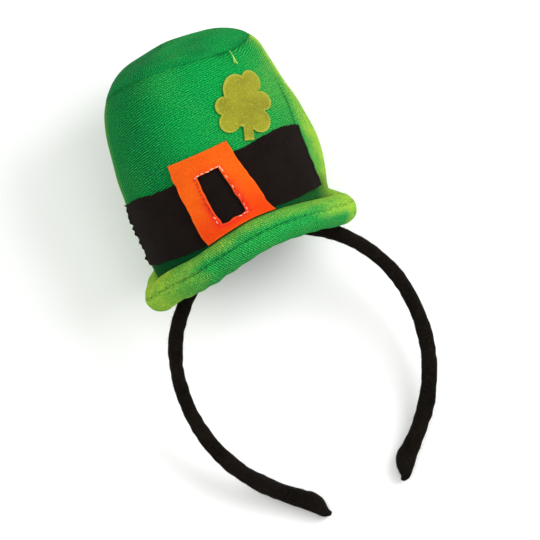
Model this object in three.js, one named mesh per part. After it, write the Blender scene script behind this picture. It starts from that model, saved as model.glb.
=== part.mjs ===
// A small stuffed leprechaun top hat on a padded headband, lying on its back.
// Millimetres. The hat is drawn upright: x to the right as seen from its front, y towards its back and
// z up its own axis, with zero at the middle of the brim roll. Azimuth is measured from the front,
// to the right. The whole is then laid back until the brim and the two headband tips touch the surface.
import * as THREE from 'three';
import { mergeVertices } from 'three/addons/utils/BufferGeometryUtils.js';

const { degToRad, lerp } = THREE.MathUtils;

// Cloth and clearances
const seat = 0.3; // gap between two pieces that touch
const clothWall = 2; // foam backed velour of the crown
const feltThickness = 1.2; // hat band, buckle and shamrock
const feltLedge = 2.5; // the buckle runs on this far above the hat band before it comes down to the crown
const feltStep = 4; // height over which it comes down

// Crown
const crownRadius = 51.3; // at its widest
const shoulderHeight = 90; // seam between side and top, above the middle of the brim
const crownLean = 7.3; // how far the shoulder seam stands to the right of the brim's centre
const domeRise = 10; // top of the dome above shoulderHeight
const domeLean = 3.6; // how far the top of the dome stands to the right of the brim's centre
const domeRoundness = 0.86; // 1 is a plain ellipse, less is fuller at the shoulder

// Brim, a stuffed roll, and the plain disc that closes the hat inside it
const brimOverhang = 7.7; // how far the roll stands out beyond the widest part of the crown
const brimRoll = 8.65; // half the thickness of the roll
const brimDroop = 13.7; // how far both sides of the brim hang below its front and back
const edgePinch = 0.7; // how deep the edge seam is drawn into the roll
const pinchWidth = 0.5; // half the width of that groove, as a share of the roll's radius
const baseThickness = 2;
const baseSink = 1.9; // middle of the disc below the middle of the roll

// Hat band and buckle, in felt
const bandHeight = 35;
const bandStart = -77.5; // azimuth of the ragged end on the left, in degrees
const bandEnd = 62.5; // azimuth of the cut end at the right side seam, in degrees
const bandSlant = 4; // how much further out each end reaches at its lower corner, in degrees
const buckleTop = 50; // height of the buckle's upper edge
const buckleWidth = 40; // along the crown, at its foot

// Shamrock, in felt
const shamrockSize = 33.3;
const shamrockAcross = 25.2; // centre of the leaf, along the crown from the front
const shamrockRise = 18.4; // height of the leaf's centre above the upper edge of the hat band

// Headband
const headbandThickness = 7.1;
const armSwell = 0.16; // share by which the padding thickens towards the tips
const swellFrom = 0.35; // shares of the way from the top to a tip between which it thickens
const swellTo = 0.9;
const sleeveCorner = 0.7; // 1 is an oval section, less is squarer
const headbandDepth = 13; // front to back
const hatShift = -1.3; // how far the hat stands to the right of the headband's middle
const bowRadius = 61.9; // middle line over the head
const bowTurn = 74; // angle from the top at which the bow passes into the arms, in degrees
const armRadius = 79.8; // middle line of the arms
const armTurn = 135.2; // angle from the top at which the arms run straight, in degrees
const armStraight = 28; // straight run to the tip
const tipLength = 22; // stretch over which the tip takes its own shape

// Squash of the soft pieces where they lie
const brimSquash = 1.1;
const tipSquash = 0.8;

// Fineness of the surfaces
const aroundSteps = 60;
const rollSteps = 14;
const headbandSteps = 54;
const headbandSides = 12;

// Worked out from the sizes above
const brimRadius = crownRadius + brimOverhang - brimRoll; // middle line of the roll
const baseRadius = brimRadius - brimRoll - seat;
const headbandTop = -baseSink - baseThickness / 2 - seat;
const bandOffset = seat; // felt lies this far off the crown
const buckleOffset = 2 * seat + feltThickness; // the buckle lies on the band

// Crown side from the brim (height 0) to the shoulder seam (height 1).
// girth is a share of crownRadius, lean a share of crownLean.
const crownProfile = [
  { height: 0.0, girth: 0.942, lean: 0.13 },
  { height: 0.06, girth: 0.952, lean: 0.15 },
  { height: 0.13, girth: 0.972, lean: 0.29 },
  { height: 0.23, girth: 0.99, lean: 0.47 },
  { height: 0.34, girth: 1.0, lean: 0.54 },
  { height: 0.47, girth: 0.986, lean: 0.55 },
  { height: 0.58, girth: 0.972, lean: 0.55 },
  { height: 0.69, girth: 0.938, lean: 0.56 },
  { height: 0.81, girth: 0.903, lean: 0.61 },
  { height: 0.89, girth: 0.872, lean: 0.68 },
  { height: 0.95, girth: 0.838, lean: 0.79 },
  { height: 1.0, girth: 0.775, lean: 0.98 },
];

// Height of the shoulder seam round the crown, a share of shoulderHeight.
const shoulderSeam = [
  { azimuth: -135, rise: 0.96 },
  { azimuth: -90, rise: 0.95 },
  { azimuth: -55, rise: 1.025 },
  { azimuth: -15, rise: 1.052 },
  { azimuth: 15, rise: 1.014 },
  { azimuth: 45, rise: 0.962 },
  { azimuth: 90, rise: 0.962 },
  { azimuth: 135, rise: 0.97 },
  { azimuth: 180, rise: 0.98 },
];

// Dents in the crown side. depth is a share of crownRadius, reach a share of the side's height.
const crownDents = [
  { azimuth: 66, height: 0.45, spread: 5, reach: 0.45, depth: 0.016 }, // side seam
  { azimuth: 38, height: 0.97, spread: 11, reach: 0.05, depth: 0.03 }, // pucker under the top
  { azimuth: -62, height: 0.9, spread: 16, reach: 0.08, depth: 0.018 }, // soft left shoulder
];

// Unevenness of the brim round the hat, a share of brimDroop.
const brimWave = [
  { azimuth: -90, rise: -0.04 },
  { azimuth: -60, rise: 0.03 },
  { azimuth: -30, rise: -0.2 },
  { azimuth: -10, rise: -0.15 },
  { azimuth: 12, rise: 0.0 },
  { azimuth: 60, rise: 0.12 },
  { azimuth: 90, rise: 0.07 },
  { azimuth: 180, rise: 0.0 },
];

// Hat band over the brim, from left to right. lift and tall are shares of bandHeight.
const bandCut = [
  { azimuth: -90, lift: 0.24, tall: 0.95 },
  { azimuth: -63, lift: 0.125, tall: 1.01 },
  { azimuth: -39, lift: 0.06, tall: 1.0 },
  { azimuth: -20, lift: 0.0, tall: 1.04 },
  { azimuth: 0, lift: 0.0, tall: 0.97 },
  { azimuth: 24, lift: 0.025, tall: 1.0 },
  { azimuth: 44, lift: 0.1, tall: 1.01 },
  { azimuth: 55, lift: 0.15, tall: 0.96 },
  { azimuth: 68, lift: 0.2, tall: 0.86 },
];

// Buckle from its foot (height 0) to its upper edge (height 1). left and right are shares of
// buckleWidth, measured along the crown from the front.
const buckleOutline = [
  { height: 0.0, left: -0.47, right: 0.514 },
  { height: 0.13, left: -0.514, right: 0.445 },
  { height: 0.29, left: -0.543, right: 0.38 },
  { height: 0.53, left: -0.573, right: 0.293 },
  { height: 0.8, left: -0.593, right: 0.234 },
  { height: 1.0, left: -0.604, right: 0.22 },
];
const buckleHole = [
  { height: 0.115, left: -0.187, right: 0.147 },
  { height: 0.275, left: -0.24, right: 0.097 },
  { height: 0.45, left: -0.283, right: 0.044 },
  { height: 0.758, left: -0.296, right: -0.018 },
];

// Shamrock: six rounded lobes in pairs round a core. turn is in degrees, the rest are shares of its size.
const shamrockLobes = [
  { turn: 87.6, out: 0.237, round: 0.245 },
  { turn: 38.1, out: 0.4, round: 0.176 },
  { turn: -16.2, out: 0.339, round: 0.147 },
  { turn: -73.8, out: 0.343, round: 0.177 },
  { turn: -159.2, out: 0.369, round: 0.157 },
  { turn: 158.5, out: 0.332, round: 0.141 },
];
const shamrockCore = 0.345;
const shamrockStem = { turn: -111.7, long: 0.545, halfWidth: 0.0703 };

// Tip of the headband. toEnd is a share of tipLength, inner and outer are shares of half the
// thickness on either side of the middle line, depth is a share of headbandDepth.
const tipShape = [
  { toEnd: 0.0, inner: -0.25, outer: 0.62, depth: 0.42 },
  { toEnd: 0.08, inner: -0.08, outer: 0.84, depth: 0.68 },
  { toEnd: 0.22, inner: 0.6, outer: 1.0, depth: 0.9 },
  { toEnd: 0.38, inner: 1.22, outer: 1.02, depth: 0.98 },
  { toEnd: 0.5, inner: 1.36, outer: 1.02, depth: 1.0 },
  { toEnd: 1.0, inner: 1.0, outer: 1.0, depth: 1.0 },
];

// A smooth curve through the rows of a table, by cubic pieces with central slopes.
function through(xs, ys, x) {
  const last = xs.length - 1;
  const at = Math.min(Math.max(x, xs[0]), xs[last]);
  let i = 0;
  while (i < last - 1 && at > xs[i + 1]) i += 1;
  const slope = (k) => {
    const a = Math.max(k - 1, 0);
    const b = Math.min(k + 1, last);
    return (ys[b] - ys[a]) / (xs[b] - xs[a]);
  };
  const step = xs[i + 1] - xs[i];
  const t = (at - xs[i]) / step;
  return (
    ys[i] * (1 + 2 * t) * (1 - t) ** 2 +
    slope(i) * step * t * (1 - t) ** 2 +
    ys[i + 1] * t * t * (3 - 2 * t) +
    slope(i + 1) * step * t * t * (t - 1)
  );
}

// A column of a table along another column.
function along(table, key, column, x) {
  return through(table.map((row) => row[key]), table.map((row) => row[column]), x);
}

// A column of a table that goes all the way round, at an azimuth in radians.
function round(table, column, azimuth) {
  const degrees = THREE.MathUtils.radToDeg(azimuth);
  const wrapped = degrees - 360 * Math.floor((degrees + 180) / 360);
  const xs = [];
  const ys = [];
  for (const lap of [-360, 0, 360]) {
    for (const row of table) {
      xs.push(row.azimuth + lap);
      ys.push(row[column]);
    }
  }
  return through(xs, ys, wrapped);
}

// Middle of the brim roll: a saddle that hangs at both sides, with the wave on top.
function brimHeight(azimuth) {
  return brimDroop * (round(brimWave, 'rise', azimuth) - Math.sin(azimuth) ** 2);
}

// Upper surface of the roll over a point of the plan.
function brimTop(x, y) {
  const out = Math.hypot(x, y) - brimRadius;
  const half = Math.sqrt(Math.max(brimRoll ** 2 - out ** 2, 0));
  return brimHeight(Math.atan2(x, -y)) + half;
}

// Plan position of the crown at an azimuth, with its radius and the sideways place of its centre.
function onPlan(azimuth, radius, centre) {
  return [centre + radius * Math.sin(azimuth), -radius * Math.cos(azimuth)];
}

function crownFoot(azimuth, inward) {
  const [low] = crownProfile;
  const radius = low.girth * crownRadius - inward;
  return seat + brimTop(...onPlan(azimuth, radius, low.lean * crownLean));
}

function seamHeight(azimuth) {
  return shoulderHeight * round(shoulderSeam, 'rise', azimuth);
}

// Radial push of the dents at a share of the side's height.
function dentAt(azimuth, height) {
  let push = 0;
  for (const dent of crownDents) {
    const turn = THREE.MathUtils.radToDeg(azimuth) - dent.azimuth;
    const sideways = (turn - 360 * Math.round(turn / 360)) / dent.spread;
    const upward = (height - dent.height) / dent.reach;
    push += dent.depth * crownRadius * Math.exp(-(sideways ** 2) - upward ** 2);
  }
  return push;
}

// A point off the crown side by the given distance, at a share of its height.
function crownSidePoint(azimuth, height, off) {
  const girth = crownRadius * along(crownProfile, 'height', 'girth', height);
  const centre = crownLean * along(crownProfile, 'height', 'lean', height);
  const plan = onPlan(azimuth, girth - dentAt(azimuth, height) + off, centre);
  return [...plan, lerp(crownFoot(azimuth, -off), seamHeight(azimuth), height)];
}

// The same at a height in millimetres, for the felt pieces laid on the crown.
function crownPoint(azimuth, z, off) {
  const foot = crownFoot(azimuth, 0);
  const [x, y] = crownSidePoint(azimuth, (z - foot) / (seamHeight(azimuth) - foot), off);
  return [x, y, z];
}

// Lower edge of a felt piece that ends just above the roll, standing off the crown by the given distance.
function feltFoot(azimuth, off) {
  const radius = crownProfile[1].girth * crownRadius;
  const centre = crownProfile[1].lean * crownLean;
  const inside = brimTop(...onPlan(azimuth, radius + off, centre));
  const outside = brimTop(...onPlan(azimuth, radius + off + feltThickness, centre));
  return 2 * seat + Math.max(inside, outside);
}

// One closed body from rows of points. Rows follow each other round a ring or along a path, and each
// row is a closed loop or a line between two poles.
function solid(name, rows, shape, material) {
  const points = rows.flat();
  const count = rows[0].length;
  const faces = [];
  const quad = (a, b, c, d) => faces.push(a, b, c, a, c, d);
  const rowSteps = shape.ring ? rows.length : rows.length - 1;
  const loopSteps = shape.loop ? count : count - 1;
  for (let i = 0; i < rowSteps; i += 1) {
    const near = i * count;
    const far = ((i + 1) % rows.length) * count;
    for (let j = 0; j < loopSteps; j += 1) {
      const next = (j + 1) % count;
      quad(near + j, near + next, far + next, far + j);
    }
  }
  if (!shape.ring) {
    const end = (rows.length - 1) * count;
    for (let j = 0; j < count / 2 - 1; j += 1) {
      const k = count - 1 - j;
      quad(j, k, k - 1, j + 1);
      quad(end + j, end + j + 1, end + k - 1, end + k);
    }
  }
  let geometry = new THREE.BufferGeometry();
  geometry.setAttribute('position', new THREE.Float32BufferAttribute(points.flat(), 3));
  geometry.setIndex(faces);
  geometry = mergeVertices(geometry, 1e-4);
  const kept = [];
  const index = geometry.index.array;
  for (let i = 0; i < index.length; i += 3) {
    const [a, b, c] = [index[i], index[i + 1], index[i + 2]];
    if (a !== b && b !== c && c !== a) kept.push(a, b, c);
  }
  const place = geometry.attributes.position;
  const corner = (k) => new THREE.Vector3().fromBufferAttribute(place, k);
  let volume = 0;
  for (let i = 0; i < kept.length; i += 3) {
    volume += corner(kept[i]).dot(corner(kept[i + 1]).cross(corner(kept[i + 2])));
  }
  geometry.setIndex(volume > 0 ? kept : kept.reverse());
  geometry.computeVertexNormals();
  const mesh = new THREE.Mesh(geometry, material);
  mesh.name = name;
  return mesh;
}

function shares(steps) {
  return Array.from({ length: steps + 1 }, (_, i) => i / steps);
}

const azimuths = Array.from({ length: aroundSteps }, (_, i) => (2 * Math.PI * i) / aroundSteps);

const velour = new THREE.MeshStandardMaterial({ color: 0x1c9a45, roughness: 0.9, metalness: 0 });
const blackFelt = new THREE.MeshStandardMaterial({ color: 0x1c120f, roughness: 1, metalness: 0 });
const orangeFelt = new THREE.MeshStandardMaterial({ color: 0xff5f0a, roughness: 0.95, metalness: 0 });
const oliveFelt = new THREE.MeshStandardMaterial({ color: 0xaaa52d, roughness: 0.95, metalness: 0 });
const blackCloth = new THREE.MeshStandardMaterial({ color: 0x17100e, roughness: 0.95, metalness: 0 });

// Hollow side of the crown, from the brim to the shoulder seam.
function crownSide() {
  const outer = shares(14);
  const inner = shares(6).reverse();
  const rows = azimuths.map((azimuth) => [
    ...outer.map((height) => crownSidePoint(azimuth, height, 0)),
    ...inner.map((height) => crownSidePoint(azimuth, height, -clothWall)),
  ]);
  return solid('crown_side', rows, { ring: true, loop: true }, velour);
}

// Domed top of the crown: a quarter of an ellipse from the seam to the middle, on the crown's wall.
function crownTop() {
  const seamRadius = crownRadius * crownProfile.at(-1).girth;
  const domePoint = (azimuth, share, inward) => {
    const turn = (share * Math.PI) / 2;
    const up = Math.sin(turn);
    const reach = share < 1 ? Math.cos(turn) ** domeRoundness : 0;
    const radius = reach * (seamRadius - dentAt(azimuth, 1) - inward);
    const foot = seamHeight(azimuth) + seat;
    const peak = shoulderHeight + domeRise - inward;
    return [...onPlan(azimuth, radius, lerp(crownLean, domeLean, up)), lerp(foot, peak, up)];
  };
  const rows = azimuths.map((azimuth) => [
    ...shares(7).reverse().map((share) => domePoint(azimuth, share, 0)),
    ...shares(5).map((share) => domePoint(azimuth, share, clothWall)),
  ]);
  return solid('crown_top', rows, { ring: true, loop: false }, velour);
}

// Stuffed roll of the brim, drawn in a little along its edge seam.
function brim() {
  const rows = azimuths.map((azimuth) =>
    Array.from({ length: rollSteps }, (_, j) => {
      const turn = (2 * Math.PI * j) / rollSteps;
      const pinch = edgePinch * Math.exp(-(((2 * Math.sin(turn / 2)) / pinchWidth) ** 2));
      const reach = brimRoll - pinch;
      const plan = onPlan(azimuth, brimRadius + reach * Math.cos(turn), 0);
      return [...plan, brimHeight(azimuth) + reach * Math.sin(turn)];
    }),
  );
  return solid('brim', rows, { ring: true, loop: true }, velour);
}

// Plain disc inside the roll, bent to the same saddle, that closes the hat and carries the headband.
function base() {
  const rings = shares(3);
  const discPoint = (azimuth, share, side) => {
    const radius = share * baseRadius;
    const saddle = brimHeight(azimuth) * (radius / brimRadius) ** 2;
    return [...onPlan(azimuth, radius, 0), saddle - baseSink + (side * baseThickness) / 2];
  };
  const rows = azimuths.map((azimuth) => [
    ...rings.map((share) => discPoint(azimuth, share, 1)),
    ...rings.toReversed().map((share) => discPoint(azimuth, share, -1)),
  ]);
  return solid('base', rows, { ring: true, loop: false }, blackFelt);
}

// Height of the hat band's lower and upper edge at an azimuth in degrees.
function bandEdges(degrees) {
  const azimuth = degToRad(degrees);
  const low = feltFoot(azimuth, bandOffset) + bandHeight * along(bandCut, 'azimuth', 'lift', degrees);
  return [low, low + bandHeight * along(bandCut, 'azimuth', 'tall', degrees)];
}

// Strip of felt round the front of the crown.
function hatBand() {
  const up = shares(4);
  const bandPoint = (across, height, off) => {
    const outward = (1 - height) * bandSlant * (2 * across - 1);
    const degrees = lerp(bandStart, bandEnd, across) + outward;
    const [low, high] = bandEdges(degrees);
    return crownPoint(degToRad(degrees), lerp(low, high, height), off);
  };
  const rows = shares(32).map((across) => [
    ...up.map((height) => bandPoint(across, height, bandOffset + feltThickness)),
    ...up.toReversed().map((height) => bandPoint(across, height, bandOffset)),
  ]);
  return solid('hat_band', rows, { ring: false, loop: true }, blackFelt);
}

// A point of the buckle: across in shares of its width, height from its foot to its upper edge. It
// lies on the band and comes down to the crown above it.
function bucklePoint(across, height, off) {
  const azimuth = (across * buckleWidth) / crownRadius;
  const z = lerp(feltFoot(azimuth, buckleOffset), buckleTop, height);
  const [, bandTop] = bandEdges(THREE.MathUtils.radToDeg(azimuth));
  const down = THREE.MathUtils.smoothstep(z - bandTop, feltLedge, feltLedge + feltStep);
  return crownPoint(azimuth, z, lerp(buckleOffset, bandOffset, down) + off);
}

// Outline of the buckle or of its hole, as places across and heights: up the left side, over, down, back.
function frameOutline(table) {
  const [foot] = table;
  const head = table.at(-1);
  const upright = (column, share) => {
    const height = lerp(foot.height, head.height, share);
    return [along(table, 'height', column, height), height];
  };
  const level = (row, share) => [lerp(row.left, row.right, share), row.height];
  return [
    ...shares(10).slice(1).map((share) => upright('left', share)),
    ...shares(6).slice(1).map((share) => level(head, share)),
    ...shares(10).slice(1).map((share) => upright('right', 1 - share)),
    ...shares(6).slice(1).map((share) => level(foot, 1 - share)),
  ];
}

// Felt frame of the buckle, cut open in the middle.
function buckle() {
  const inside = frameOutline(buckleHole);
  const rows = frameOutline(buckleOutline).map((rim, i) => {
    const strip = shares(5).map((share) => rim.map((value, k) => lerp(value, inside[i][k], share)));
    return [
      ...strip.map(([across, height]) => bucklePoint(across, height, feltThickness)),
      ...strip.toReversed().map(([across, height]) => bucklePoint(across, height, 0)),
    ];
  });
  return solid('buckle', rows, { ring: true, loop: true }, orangeFelt);
}

// Distance from the leaf's centre to its edge: the farthest of core, lobes and stem along a ray.
function shamrockReach(turn) {
  let reach = shamrockCore;
  for (const lobe of shamrockLobes) {
    const aside = turn - degToRad(lobe.turn);
    const miss = lobe.out * Math.sin(aside);
    if (Math.abs(miss) < lobe.round) {
      reach = Math.max(reach, lobe.out * Math.cos(aside) + Math.sqrt(lobe.round ** 2 - miss ** 2));
    }
  }
  const aside = turn - degToRad(shamrockStem.turn);
  if (Math.cos(aside) > 0) {
    const sides = shamrockStem.halfWidth / Math.max(Math.abs(Math.sin(aside)), 1e-6);
    reach = Math.max(reach, Math.min(shamrockStem.long / Math.cos(aside), sides));
  }
  return reach * shamrockSize;
}

// Felt shamrock laid on the crown, with its stem to the lower left.
function shamrock() {
  const corner = Math.atan(shamrockStem.halfWidth / shamrockStem.long);
  const turns = azimuths.map((turn) => turn - Math.PI);
  const stemTurn = degToRad(shamrockStem.turn);
  const clear = Math.PI / aroundSteps;
  const spaced = turns.filter((turn) => Math.abs(turn - stemTurn) > corner + clear);
  const all = [...spaced, stemTurn - corner, stemTurn, stemTurn + corner].sort((a, b) => a - b);
  const under = THREE.MathUtils.radToDeg(shamrockAcross / crownRadius);
  const middle = bandEdges(under)[1] + shamrockRise;
  const radius = crownRadius * along(crownProfile, 'height', 'girth', middle / shoulderHeight);
  const leafPoint = (turn, share, off) => {
    const reach = share * shamrockReach(turn);
    const azimuth = (shamrockAcross + reach * Math.cos(turn)) / radius;
    return crownPoint(azimuth, middle + reach * Math.sin(turn), off);
  };
  const rings = shares(3);
  const rows = all.map((turn) => [
    ...rings.map((share) => leafPoint(turn, share, bandOffset + feltThickness)),
    ...rings.toReversed().map((share) => leafPoint(turn, share, bandOffset)),
  ]);
  return solid('shamrock', rows, { ring: true, loop: false }, oliveFelt);
}

// Middle line of the headband at a distance from its top: place, and the angle of the outward normal.
function headbandLine(distance) {
  const bow = degToRad(bowTurn);
  const arm = degToRad(armTurn);
  const run = Math.abs(distance);
  const bowEnd = bowRadius * bow;
  const armEnd = bowEnd + armRadius * (arm - bow);
  const centre = headbandTop - headbandThickness / 2 - bowRadius;
  const shift = bowRadius - armRadius;
  const onArm = run > bowEnd;
  const turn = onArm ? Math.min(bow + (run - bowEnd) / armRadius, arm) : run / bowRadius;
  const radius = onArm ? armRadius : bowRadius;
  const past = Math.max(run - armEnd, 0);
  const x = (onArm ? shift * Math.sin(bow) : 0) + radius * Math.sin(turn) + past * Math.cos(turn);
  const z = centre + (onArm ? shift * Math.cos(bow) : 0) + radius * Math.cos(turn) - past * Math.sin(turn);
  return { x: Math.sign(distance) * x, z, turn: Math.sign(distance) * turn };
}

// Padded headband: a rounded flat section carried along the middle line, with its own shape at the tips.
function headband() {
  const half = bowRadius * degToRad(bowTurn) + armRadius * degToRad(armTurn - bowTurn) + armStraight;
  const tipStart = half - tipLength;
  const middle = shares(headbandSteps).map((share) => lerp(-tipStart, tipStart, share));
  const toEnds = tipShape.slice(0, -1).map((row) => row.toEnd * tipLength);
  const stations = [
    ...toEnds.map((left) => left - half),
    ...middle,
    ...toEnds.toReversed().map((left) => half - left),
  ];
  const rows = stations.map((distance) => {
    const { x, z, turn } = headbandLine(distance);
    const toEnd = Math.min((half - Math.abs(distance)) / tipLength, 1);
    const swell = 1 + armSwell * THREE.MathUtils.smoothstep(Math.abs(distance) / half, swellFrom, swellTo);
    const inner = (along(tipShape, 'toEnd', 'inner', toEnd) * swell * headbandThickness) / 2;
    const outer = (along(tipShape, 'toEnd', 'outer', toEnd) * swell * headbandThickness) / 2;
    const depth = along(tipShape, 'toEnd', 'depth', toEnd) * (headbandDepth / 2);
    return Array.from({ length: headbandSides }, (_, j) => {
      const angle = (2 * Math.PI * (j + 0.5)) / headbandSides;
      const squared = (value) => Math.sign(value) * Math.abs(value) ** sleeveCorner;
      const out = lerp(-inner, outer, (1 + squared(Math.cos(angle))) / 2);
      return [x + out * Math.sin(turn), depth * squared(Math.sin(angle)), z + out * Math.cos(turn)];
    });
  });
  return solid('headband', rows, { ring: false, loop: true }, blackCloth);
}

// Height of a point over a surface through zero when the hat is laid back by a tilt.
function heightOver(x, y, z, tilt) {
  return z * Math.sin(tilt) - y * Math.cos(tilt);
}

function lowest(mesh, tilt) {
  const place = mesh.geometry.attributes.position;
  let low = Infinity;
  for (let i = 0; i < place.count; i += 1) {
    low = Math.min(low, heightOver(place.getX(i), place.getY(i), place.getZ(i), tilt));
  }
  return low;
}

// The tilt at which the squashed brim and the squashed tips touch the same surface.
function restTilt(roll, band) {
  let [flat, steep] = [degToRad(2), degToRad(70)];
  for (let i = 0; i < 40; i += 1) {
    const tilt = (flat + steep) / 2;
    if (lowest(roll, tilt) + brimSquash < lowest(band, tilt) + tipSquash) flat = tilt;
    else steep = tilt;
  }
  return (flat + steep) / 2;
}

// Flatten what would reach below the surface.
function squash(mesh, tilt, floor) {
  const place = mesh.geometry.attributes.position;
  for (let i = 0; i < place.count; i += 1) {
    const [x, y, z] = [place.getX(i), place.getY(i), place.getZ(i)];
    const below = Math.min(heightOver(x, y, z, tilt) - floor, 0);
    place.setXYZ(i, x, y + below * Math.cos(tilt), z - below * Math.sin(tilt));
  }
  mesh.geometry.computeVertexNormals();
}

const crown = new THREE.Group();
crown.add(crownSide(), crownTop());
const trim = new THREE.Group();
trim.add(hatBand(), buckle(), shamrock());
const roll = brim();
const top = new THREE.Group();
top.add(crown, trim, roll, base());
top.position.x = hatShift;
const band = headband();
const hat = new THREE.Group();
hat.add(top, band);

const tilt = restTilt(roll, band);
const floor = lowest(roll, tilt) + brimSquash;
squash(roll, tilt, floor);
squash(band, tilt, floor);
hat.rotation.x = tilt - Math.PI / 2;

const model = new THREE.Group();
model.add(hat);
const box = new THREE.Box3().setFromObject(model, true);
hat.position.set(-(box.min.x + box.max.x) / 2, -(box.min.y + box.max.y) / 2, -box.min.z);

export default model;
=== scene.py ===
"""A small stuffed leprechaun top hat on a padded headband, lying on its back.

Shapes are drawn in millimetres in the hat's own upright frame (x to the right seen from the front,
y to the back, z up the hat's axis, azimuth from the front to the right) and laid back by place().
"""
import math

import bmesh
import bpy
import numpy as np
from mathutils import Matrix, Vector


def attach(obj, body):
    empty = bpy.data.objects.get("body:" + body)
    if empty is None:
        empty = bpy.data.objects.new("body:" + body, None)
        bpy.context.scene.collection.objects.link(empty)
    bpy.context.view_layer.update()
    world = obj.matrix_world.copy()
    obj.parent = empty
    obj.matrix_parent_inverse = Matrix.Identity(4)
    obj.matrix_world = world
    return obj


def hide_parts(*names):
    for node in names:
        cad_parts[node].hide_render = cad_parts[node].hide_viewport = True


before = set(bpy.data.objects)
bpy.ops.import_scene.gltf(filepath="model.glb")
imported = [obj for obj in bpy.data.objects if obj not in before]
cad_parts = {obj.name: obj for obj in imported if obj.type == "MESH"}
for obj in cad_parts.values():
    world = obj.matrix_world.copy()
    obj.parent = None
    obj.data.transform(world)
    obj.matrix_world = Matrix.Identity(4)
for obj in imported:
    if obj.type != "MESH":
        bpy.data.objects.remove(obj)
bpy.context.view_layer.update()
MM = 0.001
PI = math.pi

# Sizes, as in the part's source, mm
TILT = math.radians(19.744096)
LAID = (0.0, 21.263638, 54.577791)
HAT_SHIFT = -1.3
SEAT = 0.3
WALL = 2.0
FELT = 1.2
CROWN_RADIUS = 51.3
SHOULDER = 90.0
CROWN_LEAN = 7.3
DOME_RISE = 10.0
DOME_LEAN = 3.6
DOME_ROUND = 0.86
ROLL = 8.65
ROLL_RADIUS = CROWN_RADIUS + 7.7 - ROLL
DROOP = 13.7
BASE_RADIUS = ROLL_RADIUS - ROLL - SEAT
BASE_THICK = 2.0
BASE_SINK = 1.9
BAND_TALL = 35.0
BAND_FROM, BAND_TO, BAND_SLANT = -77.5, 62.5, 4.0
BUCKLE_TOP = 50.0
BUCKLE_WIDE = 40.0
LEDGE, STEP = 2.5, 4.0
LEAF = 33.3
LEAF_ACROSS = 25.2
LEAF_RISE = 18.4
HOOP_THICK = 7.1
HOOP_DEEP = 13.0
BOW_RADIUS, BOW_TURN = 61.9, math.radians(74.0)
ARM_RADIUS, ARM_TURN = 79.8, math.radians(135.2)
ARM_STRAIGHT = 28.0
TIP = 22.0
HOOP_TOP = -BASE_SINK - BASE_THICK / 2 - SEAT
TABLE_GAP = 0.05  # least height of a skin over the table
HAIR_GAP = 0.1  # and of a hair
SLEEVE_GIRTH = 2 * PI * 5.2
TOP_CLOTH = 45, 27  # velour across and along the crown's top; its ribs are drawn closer along
FILL_STEPS = 20

PROFILE = np.array([  # height, girth, lean
    (0.0, 0.942, 0.13), (0.06, 0.952, 0.15), (0.13, 0.972, 0.29), (0.23, 0.99, 0.47),
    (0.34, 1.0, 0.54), (0.47, 0.986, 0.55), (0.58, 0.972, 0.55), (0.69, 0.938, 0.56),
    (0.81, 0.903, 0.61), (0.89, 0.872, 0.68), (0.95, 0.838, 0.79), (1.0, 0.775, 0.98)]).T
SEAM = np.array([  # azimuth, rise
    (-135, 0.96), (-90, 0.95), (-55, 1.025), (-15, 1.052), (15, 1.014), (45, 0.962),
    (90, 0.962), (135, 0.97), (180, 0.98)]).T
WAVE = np.array([  # azimuth, rise
    (-90, -0.04), (-60, 0.03), (-30, -0.2), (-10, -0.15), (12, 0.0), (60, 0.12), (90, 0.07),
    (180, 0.0)]).T
CUT = np.array([  # azimuth, lift, tall, as shares of the band's height
    (-90, 0.24, 0.95), (-63, 0.125, 1.01), (-39, 0.06, 1.0), (-20, 0.0, 1.04), (0, 0.0, 0.97),
    (24, 0.025, 1.0), (44, 0.1, 1.01), (55, 0.15, 0.96), (68, 0.2, 0.86)]).T
FRAME_OUT = np.array([  # height, left, right
    (0.0, -0.47, 0.514), (0.13, -0.514, 0.445), (0.29, -0.543, 0.38), (0.53, -0.573, 0.293),
    (0.8, -0.593, 0.234), (1.0, -0.604, 0.22)]).T
FRAME_IN = np.array([(0.115, -0.187, 0.147), (0.275, -0.24, 0.097), (0.45, -0.283, 0.044),
                     (0.758, -0.296, -0.018)]).T
LOBES = [  # turn, out, radius
    (87.6, 0.237, 0.245), (38.1, 0.4, 0.176), (-16.2, 0.339, 0.147), (-73.8, 0.343, 0.177),
    (-159.2, 0.369, 0.157), (158.5, 0.332, 0.141)]
CORE = 0.345
STEM = (-111.7, 0.545, 0.0703)  # turn, long, half width
TIPS = np.array([  # to the end, inner, outer, depth
    (0.0, -0.25, 0.62, 0.42), (0.08, -0.08, 0.84, 0.68), (0.22, 0.6, 1.0, 0.9),
    (0.38, 1.22, 1.02, 0.98), (0.5, 1.36, 1.02, 1.0), (1.0, 1.0, 1.0, 1.0)]).T


# Curves and the shape of the hat
def through(xs, ys, x):
    """Cubic pieces through (xs, ys); the slope at a row is the chord between its two neighbours."""
    slopes = np.empty_like(ys)
    slopes[1:-1] = (ys[2:] - ys[:-2]) / (xs[2:] - xs[:-2])
    slopes[0] = (ys[1] - ys[0]) / (xs[1] - xs[0])
    slopes[-1] = (ys[-1] - ys[-2]) / (xs[-1] - xs[-2])
    x = np.clip(x, xs[0], xs[-1])
    i = np.clip(np.searchsorted(xs, x, side="left") - 1, 0, len(xs) - 2)
    step = xs[i + 1] - xs[i]
    t = (x - xs[i]) / step
    return (ys[i] * (1 + 2 * t) * (1 - t) ** 2 + slopes[i] * step * t * (1 - t) ** 2
            + ys[i + 1] * t * t * (3 - 2 * t) + slopes[i + 1] * step * t * t * (t - 1))


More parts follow.
